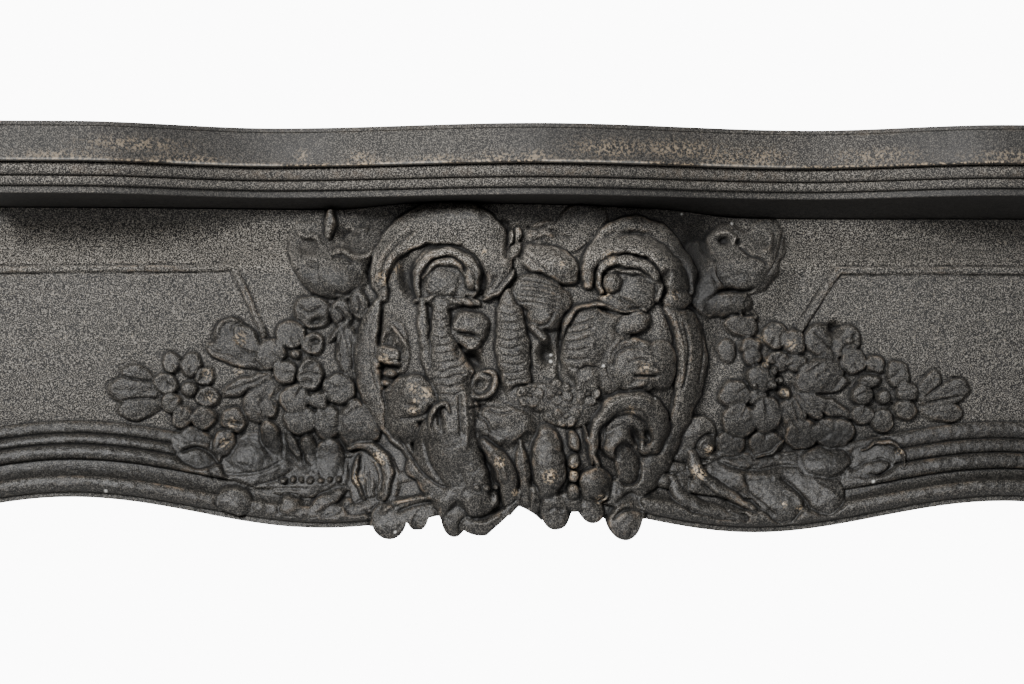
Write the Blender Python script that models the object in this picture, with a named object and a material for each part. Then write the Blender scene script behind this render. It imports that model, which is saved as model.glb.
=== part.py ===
"""Centre section of a cast-iron fireplace surround: mantel shelf edge and carved frieze."""
import math

import bmesh
import bpy
import numpy as np

MM = 0.001
SECTION = 0.680
GAP = 0.6

# All sizes below are in millimetres. x runs along the frieze, z is the height over the mount,
# and a reach is a distance out from the wall plane.
HALF = SECTION / MM / 2
HOLLOW_X = 165.0
FORWARD_X = 280.0
FRIEZE_REACH = 72.0
FRIEZE_SWING = 9.0
SHELF_REACH = 130.0
SHELF_SWING = 38.0
SHELF_TOP = 131.0
SHELF_PLATE = 6.5
SHELF_FILLET = 88.9
BEARING = 14.0
SEAM_Z = 81.2
SEAM_FALL = 3.0
SEAM_RISE = 4.6
MIDDLE_HALF = 132.0
MIDDLE_SLOPE = 56.0
EDGE_Z = -107.0
EDGE_WAVE = 10.0
EDGE_LOW_X = 135.0
EDGE_CREST = 153.0
EDGE_FALL = 2.2
CLEFT_X = -13.8
CLEFT_Z = -100.8
MOULDING = 47.7
MOULDING_REACH = 14.5
WALL = 8.0
RIB = 16.0
TIP_BACK = 74.0
GRID = 2.4
EDGE_ROWS = 7.0
MOULDING_ROWS = 52.0
FRIEZE_FACES = 6750


def clear_scene():
    for item in list(bpy.data.objects):
        bpy.data.objects.remove(item, do_unlink=True)


def iron(name, colour, roughness):
    material = bpy.data.materials.new(name)
    material.use_nodes = True
    shader = material.node_tree.nodes["Principled BSDF"]
    shader.inputs["Base Color"].default_value = (*colour, 1.0)
    shader.inputs["Metallic"].default_value = 0.6
    shader.inputs["Roughness"].default_value = roughness
    return material


def smooth(t):
    t = np.clip(t, 0.0, 1.0)
    return t * t * (3.0 - 2.0 * t)


def recess(x):
    """0 where the plan comes forward, 1 in the two hollows of the serpentine."""
    away = np.abs(x)
    inner = smooth(away / HOLLOW_X)
    outer = smooth((FORWARD_X - away) / (FORWARD_X - HOLLOW_X))
    return np.where(away < HOLLOW_X, inner, outer)


def middle(x):
    """1 behind the cartouche, 0 to both sides of it."""
    return smooth((MIDDLE_HALF - np.abs(x)) / MIDDLE_SLOPE)


def seam(x):
    """Height of the joint between the frieze and the shelf."""
    return SEAM_Z - SEAM_FALL * np.tanh(x / 130.0) + SEAM_RISE * middle(x)


def panel_reach(x):
    return FRIEZE_REACH - FRIEZE_SWING * recess(x)


def lower_edge(x):
    """The accolade line that the lower moulding follows."""
    wave = np.cos(math.pi * (np.abs(x) - EDGE_LOW_X) / EDGE_CREST)
    return EDGE_Z - EDGE_WAVE * wave - EDGE_FALL * np.tanh(x / 100.0)


def leaf_tip(x, z, centre, half, top, bottom):
    """One leaf tip that hangs below the moulding."""
    inside = np.clip(1.0 - ((x - centre) / half) ** 2, 0.0, 1.0)
    tip = top + (bottom - top) * inside ** 0.42
    return np.where(inside > 0.0, np.minimum(z, tip), z)


def outline(x):
    """Lower silhouette of the frieze."""
    z = lower_edge(x)
    z = leaf_tip(x, z, -93.5, 11.5, -104.0, -121.5)
    z = leaf_tip(x, z, -76.0, 7.2, -103.0, -116.0)
    z = leaf_tip(x, z, -53.5, 8.2, -104.0, -119.8)
    z = leaf_tip(x, z, -36.0, 17.5, -102.0, -119.0)
    z = leaf_tip(x, z, 9.5, 9.5, -102.0, -115.8)
    z = leaf_tip(x, z, 32.5, 9.0, -100.0, -111.8)
    z = leaf_tip(x, z, 51.8, 11.6, -102.0, -122.3)
    off = np.abs(x - CLEFT_X)
    return np.where(off < 20.0, np.maximum(z, CLEFT_Z - 0.9 * off), z)


def ground(x, z):
    """Cove, panel and slope of the lower moulding without reeds."""
    low = lower_edge(x)
    top = low + MOULDING + 1.5 * np.tanh(x / 100.0)
    belly = np.clip((z - top) / (42.0 - top), 0.0, 1.0)
    reach = panel_reach(x) + 3.0 * np.sin(math.pi * belly)
    reach = reach - 12.0 * smooth((z - 46.0) / 20.0) + 3.5 * smooth((z - 66.0) / 20.0)
    drop = np.clip((top - z) / (top - low), 0.0, 1.0)
    return reach + MOULDING_REACH * drop ** 1.2, (top - z) / (top - low)


def swelling(x, z):
    """The low dome that carries the cartouche."""
    away = ((x + 1.0) / 116.0) ** 2 + ((z - 8.0) / 118.0) ** 2
    return 17.0 * smooth(1.6 * (1.0 - away))


def reeds(x, reach, drop):
    """Three reeds, a hollow and a torus over the slope of the lower moulding."""
    side = smooth((x + 240.0) / 470.0)
    cuts = [0.0]
    for left, right in ((0.168, 0.214), (0.31, 0.391), (0.495, 0.589), (0.715, 0.727), (0.93, 0.93)):
        cuts.append(left + (right - left) * side)
    flat = panel_reach(x)
    for k, (foot, crown) in enumerate(((1.4, 2.6), (4.6, 2.6), (8.4, 3.4))):
        u = (drop - cuts[k]) / (cuts[k + 1] - cuts[k])
        bow = crown * np.sqrt(np.clip(1.0 - (2.0 * u - 1.0) ** 2, 0.0, 1.0))
        reach = np.where((u >= 0.0) & (u < 1.0), flat + foot + bow, reach)
    u = (drop - cuts[3]) / (cuts[4] - cuts[3])
    scoop = 7.8 + 7.5 * np.clip(u, 0.0, 1.0) ** 2
    reach = np.where((u >= 0.0) & (u < 1.0), flat + scoop, reach)
    u = (drop - cuts[4]) / (cuts[5] - cuts[4])
    torus = 13.6 + 5.2 * np.sqrt(np.clip(1.0 - (2.0 * u - 0.9) ** 2 / 1.21, 0.0, 1.0))
    reach = np.where((u >= 0.0) & (u < 1.0), flat + torus, reach)
    return np.where(drop >= cuts[5], flat + 13.4, reach)


def curve(points, step=2.0):
    """Points along a smooth curve through the given ones, with the share of the way at each."""
    knots = np.array(points, float)
    ends = np.vstack([2 * knots[0] - knots[1], knots, 2 * knots[-1] - knots[-2]])
    line = []
    share = []
    for k in range(len(knots) - 1):
        a, b, c, d = ends[k:k + 4]
        count = max(3, int(np.hypot(*(c - b)) / step))
        u = np.linspace(0.0, 1.0, count, endpoint=False)[:, None]
        bend = 2 * b + (c - a) * u + (2 * a - 5 * b + 4 * c - d) * u ** 2
        line.append(0.5 * (bend + (3 * b - a - 3 * c + d) * u ** 3))
        share.append((k + u[:, 0]) / (len(knots) - 1))
    line.append(knots[-1:])
    share.append(np.ones(1))
    return np.vstack(line), np.concatenate(share)


class Relief:
    """Reach of the carved front on a grid whose rows follow the lower outline."""

    def __init__(self, step):
        xs = np.linspace(-HALF, HALF, int(2 * HALF / step) + 1)
        edge = lower_edge(xs)
        levels = [outline(xs), edge + EDGE_ROWS, edge + MOULDING_ROWS, seam(xs) - GAP]
        rows = []
        for low, high, deep in zip(levels, levels[1:], (13.0, MOULDING_ROWS - EDGE_ROWS, 139.0)):
            v = np.linspace(0.0, 1.0, round(deep / step), endpoint=False)[:, None]
            rows.append(low + (high - low) * v)
        self.z = np.vstack(rows + [levels[-1][None, :]])
        self.x = np.repeat(xs[None, :], len(self.z), 0)
        plain, drop = ground(self.x, self.z)
        dome = swelling(self.x, self.z)
        self.ground = plain + dome
        self.reach = np.where(dome > 0.3, self.ground, reeds(self.x, plain, drop))

    def lay(self, q, height):
        self.reach = np.where(q < 1.0, np.maximum(self.reach, self.ground + height), self.reach)

    def dome(self, cx, cz, a, b, turn=0.0, h=9.0, edge=0.3):
        """An oval boss."""
        c = math.cos(math.radians(turn))
        s = math.sin(math.radians(turn))
        u = ((self.x - cx) * c + (self.z - cz) * s) / a
        v = ((self.z - cz) * c - (self.x - cx) * s) / b
        q = u * u + v * v
        self.lay(q, h * (edge + (1.0 - edge) * np.sqrt(np.clip(1.0 - q, 0.0, 1.0))))

    def petal(self, x0, z0, x1, z1, width, h=8.0, edge=0.3, wide=0.62):
        """An egg-shaped leaf from its root to its tip."""
        length = math.hypot(x1 - x0, z1 - z0)
        ex = (x1 - x0) / length
        ez = (z1 - z0) / length
        u = (self.x - x0) * ex + (self.z - z0) * ez - wide * length
        v = (self.z - z0) * ex - (self.x - x0) * ez
        span = np.where(u < 0.0, wide * length, (1.0 - wide) * length)
        q = (u / span) ** 2 + (2.0 * v / width) ** 2
        self.lay(q, h * (edge + (1.0 - edge) * np.sqrt(np.clip(1.0 - q, 0.0, 1.0))))

    def stroke(self, points, width, h, flat=False, rib=0.0):
        """A ridge along a curve; widths and heights are spread evenly over its length."""
        line, share = curve(points)
        best = np.full(self.x.shape, 1e9)
        way = np.zeros(self.x.shape)
        run = np.zeros(self.x.shape)
        gone = 0.0
        for k in range(len(line) - 1):
            ax, az = line[k]
            bx, bz = line[k + 1] - line[k]
            span = bx * bx + bz * bz
            t = np.clip(((self.x - ax) * bx + (self.z - az) * bz) / span, 0.0, 1.0)
            far = (self.x - ax - t * bx) ** 2 + (self.z - az - t * bz) ** 2
            near = far < best
            best = np.where(near, far, best)
            way = np.where(near, share[k] + t * (share[k + 1] - share[k]), way)
            run = np.where(near, gone + t * math.sqrt(span), run)
            gone += math.sqrt(span)
        half = np.interp(way, np.linspace(0.0, 1.0, len(width)), width) / 2.0
        high = np.interp(way, np.linspace(0.0, 1.0, len(h)), h)
        q = best / half ** 2
        rise = np.sqrt(np.clip(1.0 - q, 0.0, 1.0))
        if flat:
            rise = 1.0
        if rib:
            rise = rise * (0.82 + 0.18 * np.cos(2.0 * math.pi * run / rib))
        self.lay(q, high * (0.3 + 0.7 * rise))

    def pit(self, cx, cz, a, b, turn, depth):
        """A rounded hollow sunk into whatever is there."""
        c = math.cos(math.radians(turn))
        s = math.sin(math.radians(turn))
        u = ((self.x - cx) * c + (self.z - cz) * s) / a
        v = ((self.z - cz) * c - (self.x - cx) * s) / b
        self.reach -= depth * np.exp(-((u * u + v * v) ** 1.5))


def carve_panels(r):
    """Narrow raised strip round each side panel."""
    for side, drop in ((-1.0, 46.0), (1.0, 45.2)):
        corner = side * 191.0
        straight = [(side * 350.0, drop - 1.2), (side * 270.0, drop - 0.6), (corner, drop)]
        slanted = [(corner, drop), (side * 179.0, drop - 21.0), (side * 166.5, 5.0)]
        r.stroke(straight, (6.0, 6.0), (2.4, 2.4), True)
        r.stroke(slanted, (6.4, 6.4), (2.4, 2.4), True)


def carve_side_domes(r):
    """Rounded masses under the shelf to both sides of the cartouche."""
    r.dome(-130, 46, 25, 20, -20, 13)
    r.dome(-113, 63, 14, 9.5, 15, 12)
    r.dome(133, 50, 20, 19, 20, 14)
    r.dome(104, 33, 13, 18, 10, 11)
    r.dome(117, 23.5, 17.5, 8.5, 4, 13)
    r.dome(-139, 18, 14, 10, -10, 9)
    r.dome(-112, 20, 6.5, 10.5, 8, 9)
    r.dome(127, 9, 11, 7, -15, 9)


def carve_left_spray(r):
    """Leaf tip, two flowers, bud and the leaf that lies on the moulding."""
    r.stroke([(-200, -82), (-180, -77), (-158, -79), (-138, -84), (-120, -92)],
             (10, 20, 22, 20, 12), (6, 9, 10, 10, 8))
    r.petal(-174, -86, -198, -98, 17, 10)
    r.petal(-144, -90, -161, -106, 15, 10)
    r.petal(-118, -91, -146, -106, 12, 10)
    r.petal(-202, -76, -224, -57, 21, 9)
    r.petal(-160, -76, -172, -46, 14, 8)
    r.petal(-166, -24, -181, -46, 20, 8)
    r.petal(-163, -17, -208, -4.5, 12, 8)
    r.petal(-178, -9, -198, 13, 20, 9)
    r.dome(-190, -49, 9.5, 9.5)
    r.dome(-196, -62, 8.2, 8.2)
    for x, z, width in ((-258, -16, 12), (-267, -29, 15), (-260, -41, 14)):
        r.petal(-235, -31, x, z, width, 7)
    for x, z in ((-233, -8), (-213, -5.5), (-240, -25), (-236, -40),
                 (-222, -51), (-203, -51), (-199, -36), (-203, -17)):
        r.petal(-217, -29.5, x, z, 13, 9, wide=0.66)
    for x, z, size in ((-167, -7, 9), (-155, 5, 8.4), (-158, -18, 8.4), (-144, -19, 9), (-125, -29, 9),
                       (-152, -35, 9), (-149, -48, 9), (-132, -50, 9), (-131, -67, 10), (-146, -62, 7.5)):
        r.dome(x, z, size, size, 0, 11.5)
    r.petal(-115, -28, -123, 10, 17, 11)


def carve_right_spray(r):
    """Leaf tip, two flowers, fan of leaves and the leaf that lies on the moulding."""
    r.stroke([(112, -84), (130, -88), (150, -88), (170, -86), (190, -88)],
             (10, 18, 20, 20, 12), (6, 8, 9, 9, 7))
    r.petal(196, -86, 184, -108, 13, 9)
    r.petal(160, -88, 158, -109, 16, 9)
    r.petal(145, -88, 136, -109, 20, 9)
    r.petal(160, -72, 201, -77, 21, 9)
    r.petal(193, -80, 224, -63, 24, 9)
    for x, z, size in ((118, -5, 9), (148, 4, 7.5), (160, 0, 7), (123, -33, 9), (126, -49, 10),
                       (143, -46, 9.5), (139, -22, 9), (166, -57, 9.5), (190, -58, 10),
                       (143, -63, 8.5), (121, -63, 8)):
        r.dome(x, z, size, size, 0, 10.5)
    for x, z in ((167, -49), (178, -48), (189, -46), (200, -48)):
        r.petal(161, -29, x, z, 8, 8, wide=0.66)
    r.petal(161, -26, 195, -13, 19, 9)
    r.petal(190, -9, 171, 7, 18, 9)
    r.petal(188, -8, 199, 8, 15, 9)
    for x, z in ((200, -4), (212, -9), (228, -11), (241, -28), (240, -45), (228, -57), (208, -58)):
        r.petal(216, -34, x, z, 14, 9, wide=0.68)
    r.dome(206, -35, 8.8, 8.8, 0, 12)
    for x, z, width in ((251, -20, 12), (265, -44, 13), (270, -27, 14)):
        r.petal(239, -38, x, z, width, 7)


def carve_frames(r):
    """Broad bands that close the cartouche at the left and the right, and the volutes beside them."""
    r.stroke([(-99, 27), (-106, 12), (-107, -8), (-104, -27), (-98, -43), (-88, -58), (-79, -70)],
             (5, 14, 17, 16, 14, 11, 6), (6, 9, 10, 10, 9, 7, 5))
    r.stroke([(82, 21), (91, 8), (94.5, -8), (93, -25), (89, -41),
              (84, -56), (75, -71), (62, -84), (49, -93)],
             (13, 20, 21, 18, 16, 13, 15, 18, 15), (7, 9, 10, 10, 10, 10, 10, 10, 9))
    r.dome(-94, -7, 10, 8)
    r.dome(-113, -54, 13, 12.5, -15, 11)
    r.stroke([(-118, -69), (-109, -67), (-101, -71), (-97, -80), (-98, -92), (-104, -101)],
             (5, 8, 8, 8, 7, 5), (10, 13, 13, 12, 11, 9))
    r.dome(100, -62, 14.5, 15.5, -10, 11)
    r.stroke([(98, -72), (100, -82), (108, -90), (122, -99)], (6, 7, 6, 4), (12, 12, 10, 7))
    r.petal(93, -82, 83, -95, 13, 10)


def carve_scrolls(r):
    """The two large scrolls at the head of the cartouche with what they hold."""
    hood = [(-97, 28), (-99, 42), (-93, 57), (-81, 68), (-65, 73),
            (-47, 72), (-34, 64), (-29, 52), (-28, 38), (-31, 29)]
    r.stroke(hood, (10, 15, 18, 22, 26, 26, 24, 20, 17, 8), (8, 11, 12, 13, 14, 14, 13, 12, 10, 8))
    r.dome(-58, 38, 21, 20, 0, 9)
    r.pit(-80, 40, 6.5, 14, 8, 9)
    r.stroke([(-75, 30), (-75, 44), (-67, 54), (-57, 55.2), (-48, 51), (-42.5, 43)],
             (6, 8, 8, 8, 8, 7), (8, 12, 14, 14, 14, 13))
    r.dome(-44, 38, 5.5, 8.5, 0, 14)
    r.stroke([(-76, 27), (-62, 26.5), (-50, 25.5), (-40, 25)], (7, 8, 8, 6), (8, 9, 9, 8))
    r.stroke([(36, 64), (47, 70), (62, 72.5), (78, 67), (87, 57)], (8, 10, 11, 9, 7), (9, 10, 10, 9, 7))
    r.stroke([(29, 38), (31, 50), (41, 59), (56, 62.5), (70, 59), (81, 48), (86, 36), (84, 26)],
             (9, 12, 15, 17, 18, 19, 19, 14), (9, 12, 14, 15, 15, 15, 13, 9))
    r.dome(56, 34, 17, 17, 0, 8)
    r.stroke([(37, 31), (36, 42), (44, 48.5), (56, 48), (66, 43.5), (72, 35), (71, 27)],
             (5, 7, 8, 9, 9, 7, 5), (9, 11, 12, 12, 12, 11, 9))
    r.dome(43.5, 36.6, 7, 7.4, 0, 14)
    r.dome(83, 26, 10, 6, 5, 11)
    r.petal(6, 57, 36, 80, 20, 9)
    r.dome(8, 46, 18.5, 11.8, -32, 15)
    r.dome(0, 67, 7.5, 6, 0, 10)


def carve_shells(r):
    """Ribbed shell work, bosses and the domes in the field of the cartouche."""
    r.stroke([(-72, 25), (-72, 10), (-71, -6), (-66, -24)], (7, 9, 10, 8), (7, 7, 7, 7))
    r.stroke([(-61, 21), (-61, 8), (-59, -6), (-55, -20), (-52, -34)],
             (11, 12, 15, 23, 20), (8, 8, 9, 10, 9), rib=8.8)
    r.stroke([(-20, 38), (-18, 20), (-18, 3), (-17, -13), (-16, -27)],
             (10, 19, 20, 19, 12), (8, 10, 10, 10, 8), rib=9.8)
    r.stroke([(-8, 39), (5, 31), (16, 20), (18, 6)], (8, 15, 17, 10), (8, 9, 9, 7))
    r.dome(-45, 8, 10, 13, 0, 12)
    r.dome(29, 3, 17, 20, -12, 11)
    r.dome(3, -8, 8.5, 8.5, 0, 10)
    r.pit(3, -8, 4.4, 5.2, 0, 8)
    r.pit(-40, -12, 4, 8.5, 48, 7)
    r.dome(58, -12, 21, 16, -8, 12)
    r.dome(56, 8.5, 13, 8.5, 0, 11)
    for x, z in ((-8, -32), (8, -34.5), (28, -31.5), (14, -44.5)):
        r.dome(x, z, 7.6, 7.6, 0, 11)


def carve_lower_cartouche(r):
    """Head, acanthus leaves, volute and bosses down to the leaf tips."""
    r.dome(-80, -32, 16.5, 13, 5, 13)
    r.petal(-44, -30, -58, -92, 40, 12, 0.1)
    r.stroke([(-86, -43.6), (-79, -42), (-72, -43.5), (-67, -49)], (6, 8, 8, 5), (10, 11, 11, 10))
    r.stroke([(-67, -52), (-66.5, -42), (-61.5, -35), (-56.5, -37), (-55, -46), (-52, -58)],
             (5, 7, 7, 7, 7, 5), (12, 14, 14, 14, 13, 12))
    r.dome(-34, -27, 7.2, 9.2, 0, 13)
    r.dome(-22, -50, 18, 14, 10, 9)
    r.stroke([(-35, -62), (-27, -72), (-20, -84), (-18, -97)], (6, 10, 12, 9), (9, 11, 10, 6))
    r.stroke([(-14, -56), (-13.5, -70), (-10.5, -84), (-10.5, -98)], (5, 7, 7, 6), (7, 9, 8, 5))
    for x0, z0, x1, z1, width in ((-68, -96, -96, -118, 23), (-66, -97, -76.5, -117, 14),
                                  (-46, -99, -55, -121, 17), (57, -99, 51, -124, 24),
                                  (8, -95, 9, -118, 19), (33, -94, 32, -113, 18)):
        r.petal(x0, z0, x1, z1, width, 9, 0.5)
    r.petal(-66, -88, -82, -84, 10, 9)
    r.stroke([(-45, -113), (-34, -114), (-23, -107), (-15, -99)], (10, 14, 13, 8), (8, 9, 8, 6))
    r.petal(-28, -95, -65, -96.5, 15, 11, wide=0.7)
    r.dome(3.5, -73, 11.5, 24, 3, 14)
    r.dome(20, -78, 5, 20, 0, 10)
    volute = [(37, -73), (33.5, -60), (37, -46), (46.5, -37.5), (58, -35.5),
              (69, -42), (73.5, -53), (70, -63.5), (64, -65.5)]
    r.stroke(volute, (8, 11, 13, 14, 15, 15, 12, 9, 7), (9, 12, 14, 15, 15, 15, 14, 13, 12))
    r.dome(49.5, -60.5, 8, 11, -30, 13)
    r.dome(34, -86.5, 11.5, 12, 0, 16)


def block(name, x, z, reach, back):
    """A closed body between a grid of reaches and a plane at the given reach."""
    rows, columns = x.shape
    body = bmesh.new()
    front = []
    rear = []
    for i in range(rows):
        places = [(x[i, j] * MM, z[i, j] * MM, reach[i, j] * MM) for j in range(columns)]
        front.append([body.verts.new((px, -out, pz)) for px, pz, out in places])
        rear.append([body.verts.new((px, -back * MM, pz)) for px, pz, out in places])
    for i in range(rows - 1):
        for j in range(columns - 1):
            body.faces.new((front[i][j], front[i][j + 1], front[i + 1][j + 1], front[i + 1][j]))
            body.faces.new((rear[i][j], rear[i + 1][j], rear[i + 1][j + 1], rear[i][j + 1]))
    for j in range(columns - 1):
        body.faces.new((front[0][j + 1], front[0][j], rear[0][j], rear[0][j + 1]))
        body.faces.new((front[-1][j], front[-1][j + 1], rear[-1][j + 1], rear[-1][j]))
    for i in range(rows - 1):
        body.faces.new((front[i][0], front[i + 1][0], rear[i + 1][0], rear[i][0]))
        body.faces.new((front[i + 1][-1], front[i][-1], rear[i][-1], rear[i + 1][-1]))
    bmesh.ops.recalc_face_normals(body, faces=body.faces)
    mesh = bpy.data.meshes.new(name)
    body.to_mesh(mesh)
    body.free()
    thing = bpy.data.objects.new(name, mesh)
    bpy.context.scene.collection.objects.link(thing)
    return thing


def cut_away(frieze, cutter):
    cutter.hide_render = True
    cutter.display_type = "WIRE"
    modifier = frieze.modifiers.new(cutter.name, "BOOLEAN")
    modifier.operation = "DIFFERENCE"
    modifier.solver = "EXACT"
    modifier.object = cutter


def back_pocket(name, x0, x1):
    """Hollow in the back of the casting, between two ribs."""
    xs = np.linspace(x0, x1, 15)
    v = np.linspace(0.0, 1.0, 11)[:, None]
    low = lower_edge(xs) + WALL
    top = seam(xs) - GAP - WALL
    z = low + (top - low) * v
    x = np.repeat(xs[None, :], 11, 0)
    slope, _ = ground(x, z)
    return block(name, x, z, slope + 0.85 * swelling(x, z) - WALL - 3.0, -3.0)


def behind_tips():
    """Space behind the leaf tips, which hang below the moulding as thin lobes."""
    xs = np.linspace(-109.0, 66.0, 26)
    v = np.linspace(0.0, 1.0, 2)[:, None]
    low = np.full_like(xs, -130.0)
    z = low + (lower_edge(xs) - low) * v
    x = np.repeat(xs[None, :], 2, 0)
    return block("tip_space", x, z, np.full_like(z, TIP_BACK), -3.0)


def thinned(thing, faces):
    """Fewer facets, with the cut ends and the back kept flat."""
    thin = thing.modifiers.new("facets", "DECIMATE")
    thin.ratio = faces / (2.0 * len(thing.data.polygons))
    graph = bpy.context.evaluated_depsgraph_get()
    mesh = bpy.data.meshes.new_from_object(thing.evaluated_get(graph))
    thing.modifiers.remove(thin)
    thing.data = mesh
    for vertex in mesh.vertices:
        if abs(vertex.co.x) > (HALF - 0.4) * MM:
            vertex.co.x = math.copysign(HALF * MM, vertex.co.x)
        if abs(vertex.co.y) < 0.4 * MM:
            vertex.co.y = 0.0


def frieze_casting(material):
    """The frieze: one casting with its relief and lower moulding."""
    r = Relief(GRID)
    carve_panels(r)
    carve_side_domes(r)
    carve_left_spray(r)
    carve_right_spray(r)
    carve_frames(r)
    carve_scrolls(r)
    carve_shells(r)
    carve_lower_cartouche(r)
    frieze = block("frieze", r.x, r.z, r.reach, 0.0)
    thinned(frieze, FRIEZE_FACES)
    frieze.data.materials.append(material)
    cut_away(frieze, back_pocket("left_pocket", -HALF + WALL, -RIB / 2))
    cut_away(frieze, back_pocket("right_pocket", RIB / 2, HALF - WALL))
    cut_away(frieze, behind_tips())
    return frieze


def shelf_front(x):
    return SHELF_REACH - SHELF_SWING * recess(x)


def shelf_profile(x):
    """Section of the shelf edge as (reach, z) pairs, once round."""
    front = float(shelf_front(x))
    joint = float(seam(x))
    lip = float(panel_reach(x) + swelling(x, joint)) - 10.5
    points = [(0.0, SHELF_TOP), (front - 3.2, SHELF_TOP), (front - 3.2, 128.4), (front - 3.9, 128.0)]
    for k in range(1, 5):
        u = k / 4.0
        points.append((front - 3.9 * (1.0 - u) ** 1.8, 128.0 - 20.2 * u))
    points.append((front - 5.6, 107.0))
    for centre, size, back in ((103.3, 3.9, 8.6), (96.4, 2.9, 11.0)):
        for k in range(5):
            angle = math.radians(70.0 - 35.0 * k)
            points.append((front - back + size * math.cos(angle), centre + size * math.sin(angle)))
    points += [(front - 12.4, 93.2), (front - 12.4, SHELF_FILLET), (front - 14.0, SHELF_FILLET - 0.4)]
    for k in range(1, 4):
        u = k / 3.0
        reach = front - 14.0 + (lip - front + 14.0) * u
        points.append((reach, SHELF_FILLET - 0.4 + (joint - SHELF_FILLET + 0.4) * u ** 1.4))
    bearing = lip - BEARING
    points += [(bearing, joint), (bearing, joint + 5.0), (front - 26.0, 95.5), (front - 16.0, 108.0)]
    points.append((front - 15.0, SHELF_TOP - SHELF_PLATE))
    points.append((0.0, SHELF_TOP - SHELF_PLATE))
    return points


def mantel_shelf(material):
    """The shelf: a plate with a moulded rim, a separate casting that rests on the frieze."""
    body = bmesh.new()
    stations = np.linspace(-HALF, HALF, 41)
    rings = []
    for x in stations:
        rings.append([body.verts.new((x * MM, -reach * MM, z * MM)) for reach, z in shelf_profile(x)])
    count = len(rings[0])
    for a, b in zip(rings, rings[1:]):
        for k in range(count):
            n = (k + 1) % count
            body.faces.new((a[k], a[n], b[n], b[k]))
    ends = [body.faces.new(rings[0]), body.faces.new(rings[-1])]
    bmesh.ops.triangulate(body, faces=ends)
    bmesh.ops.recalc_face_normals(body, faces=body.faces)
    mesh = bpy.data.meshes.new("mantel_shelf")
    body.to_mesh(mesh)
    body.free()
    shelf = bpy.data.objects.new("mantel_shelf", mesh)
    bpy.context.scene.collection.objects.link(shelf)
    shelf.data.materials.append(material)
    return shelf


clear_scene()
frieze_casting(iron("frieze_iron", (0.045, 0.042, 0.038), 0.55))
mantel_shelf(iron("shelf_iron", (0.04, 0.038, 0.036), 0.45))
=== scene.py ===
import math

import bpy
import numpy as np
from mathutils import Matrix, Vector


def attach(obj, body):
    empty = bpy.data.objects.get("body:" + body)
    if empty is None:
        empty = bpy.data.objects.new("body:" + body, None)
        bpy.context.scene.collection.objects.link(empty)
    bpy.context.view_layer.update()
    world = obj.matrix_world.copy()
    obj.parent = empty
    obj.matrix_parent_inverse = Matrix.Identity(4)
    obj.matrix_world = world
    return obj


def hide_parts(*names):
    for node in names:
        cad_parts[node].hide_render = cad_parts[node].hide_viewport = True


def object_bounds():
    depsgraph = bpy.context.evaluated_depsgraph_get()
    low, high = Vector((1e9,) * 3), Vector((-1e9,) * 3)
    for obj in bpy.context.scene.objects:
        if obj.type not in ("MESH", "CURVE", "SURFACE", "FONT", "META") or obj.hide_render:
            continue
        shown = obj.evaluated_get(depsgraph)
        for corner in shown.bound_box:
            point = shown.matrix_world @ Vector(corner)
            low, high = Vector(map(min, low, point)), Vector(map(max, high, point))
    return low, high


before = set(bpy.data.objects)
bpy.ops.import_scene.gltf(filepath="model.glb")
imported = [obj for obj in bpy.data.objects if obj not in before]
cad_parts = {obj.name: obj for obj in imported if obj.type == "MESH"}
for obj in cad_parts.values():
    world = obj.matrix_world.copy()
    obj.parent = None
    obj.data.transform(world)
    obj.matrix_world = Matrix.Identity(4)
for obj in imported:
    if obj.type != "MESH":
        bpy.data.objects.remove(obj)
cad_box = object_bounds()


# The frieze: one plate of sand-cast iron with the cartouche, the sprays and the lower moulding cast in it. It
# stands against the wall on a rim and a middle rib, and its black paint has worn brown on the crests.
# Sizes are in millimetres: x along the wall, z up from the mount, and a reach is a distance from the wall.
MM = 0.001
HALF_LENGTH = round(cad_box[1][0] / MM, 1)
MIDDLE_HALF = 165.0
HOLLOW_END = 280.0
PANEL_REACH = 72.0
PANEL_RECESS = 9.0
PANEL_BELLY = 3.0
COVE_FOOT = 46.0
COVE_MIDDLE = 66.0
COVE_SOFTNESS = 20.0
COVE_DEPTH = 12.0
COVE_LIP = 3.5
SEAM_HEIGHT = 81.2
SEAM_LEAN = 3.0
SEAM_RISE = 4.6
SEAM_GAP = 0.6
LOW_LINE = -107.0
LOW_WAVE = 10.0
LOW_LEAN = 2.2
MOULDING_TALL = 47.7
MOULDING_REACH = 14.5
TORUS_REACH = 13.4
DOME_HEIGHT = 17.0
CLEFT_X = -13.8
CLEFT_TOP = -100.8
TIP_BRIDGE = -104.8
# each leaf tip that hangs below the moulding: centre, half width, height it starts from and lowest point
HANGING_TIPS = ((-93.5, 11.5, -104.0, -121.5), (-76.0, 7.2, -103.0, -116.0), (-53.5, 8.2, -104.0, -119.8),
                (-36.0, 17.5, -102.0, -119.0), (9.5, 9.5, -102.0, -115.8), (32.5, 9.0, -100.0, -111.8),
                (51.8, 11.6, -102.0, -122.3))
# where each reed of the moulding ends, as a share of the slope, at the left and at the right end
REED_ENDS = ((0.168, 0.214), (0.31, 0.391), (0.495, 0.589), (0.715, 0.727), (0.93, 0.93))


def smooth(t):
    """From 0 to 1 with a soft start and end."""
    t = np.clip(t, 0.0, 1.0)
    return t * t * (3.0 - 2.0 * t)


def recess(x):
    """0 where the plan comes forward, 1 in the two hollows of the serpentine."""
    away = np.abs(x)
    back_out = smooth((HOLLOW_END - away) / (HOLLOW_END - MIDDLE_HALF))
    return np.where(away < MIDDLE_HALF, smooth(away / MIDDLE_HALF), back_out)


def panel_reach(x):
    """Reach of the flat side panels, which follow the serpentine."""
    return PANEL_REACH - PANEL_RECESS * recess(x)


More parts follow.
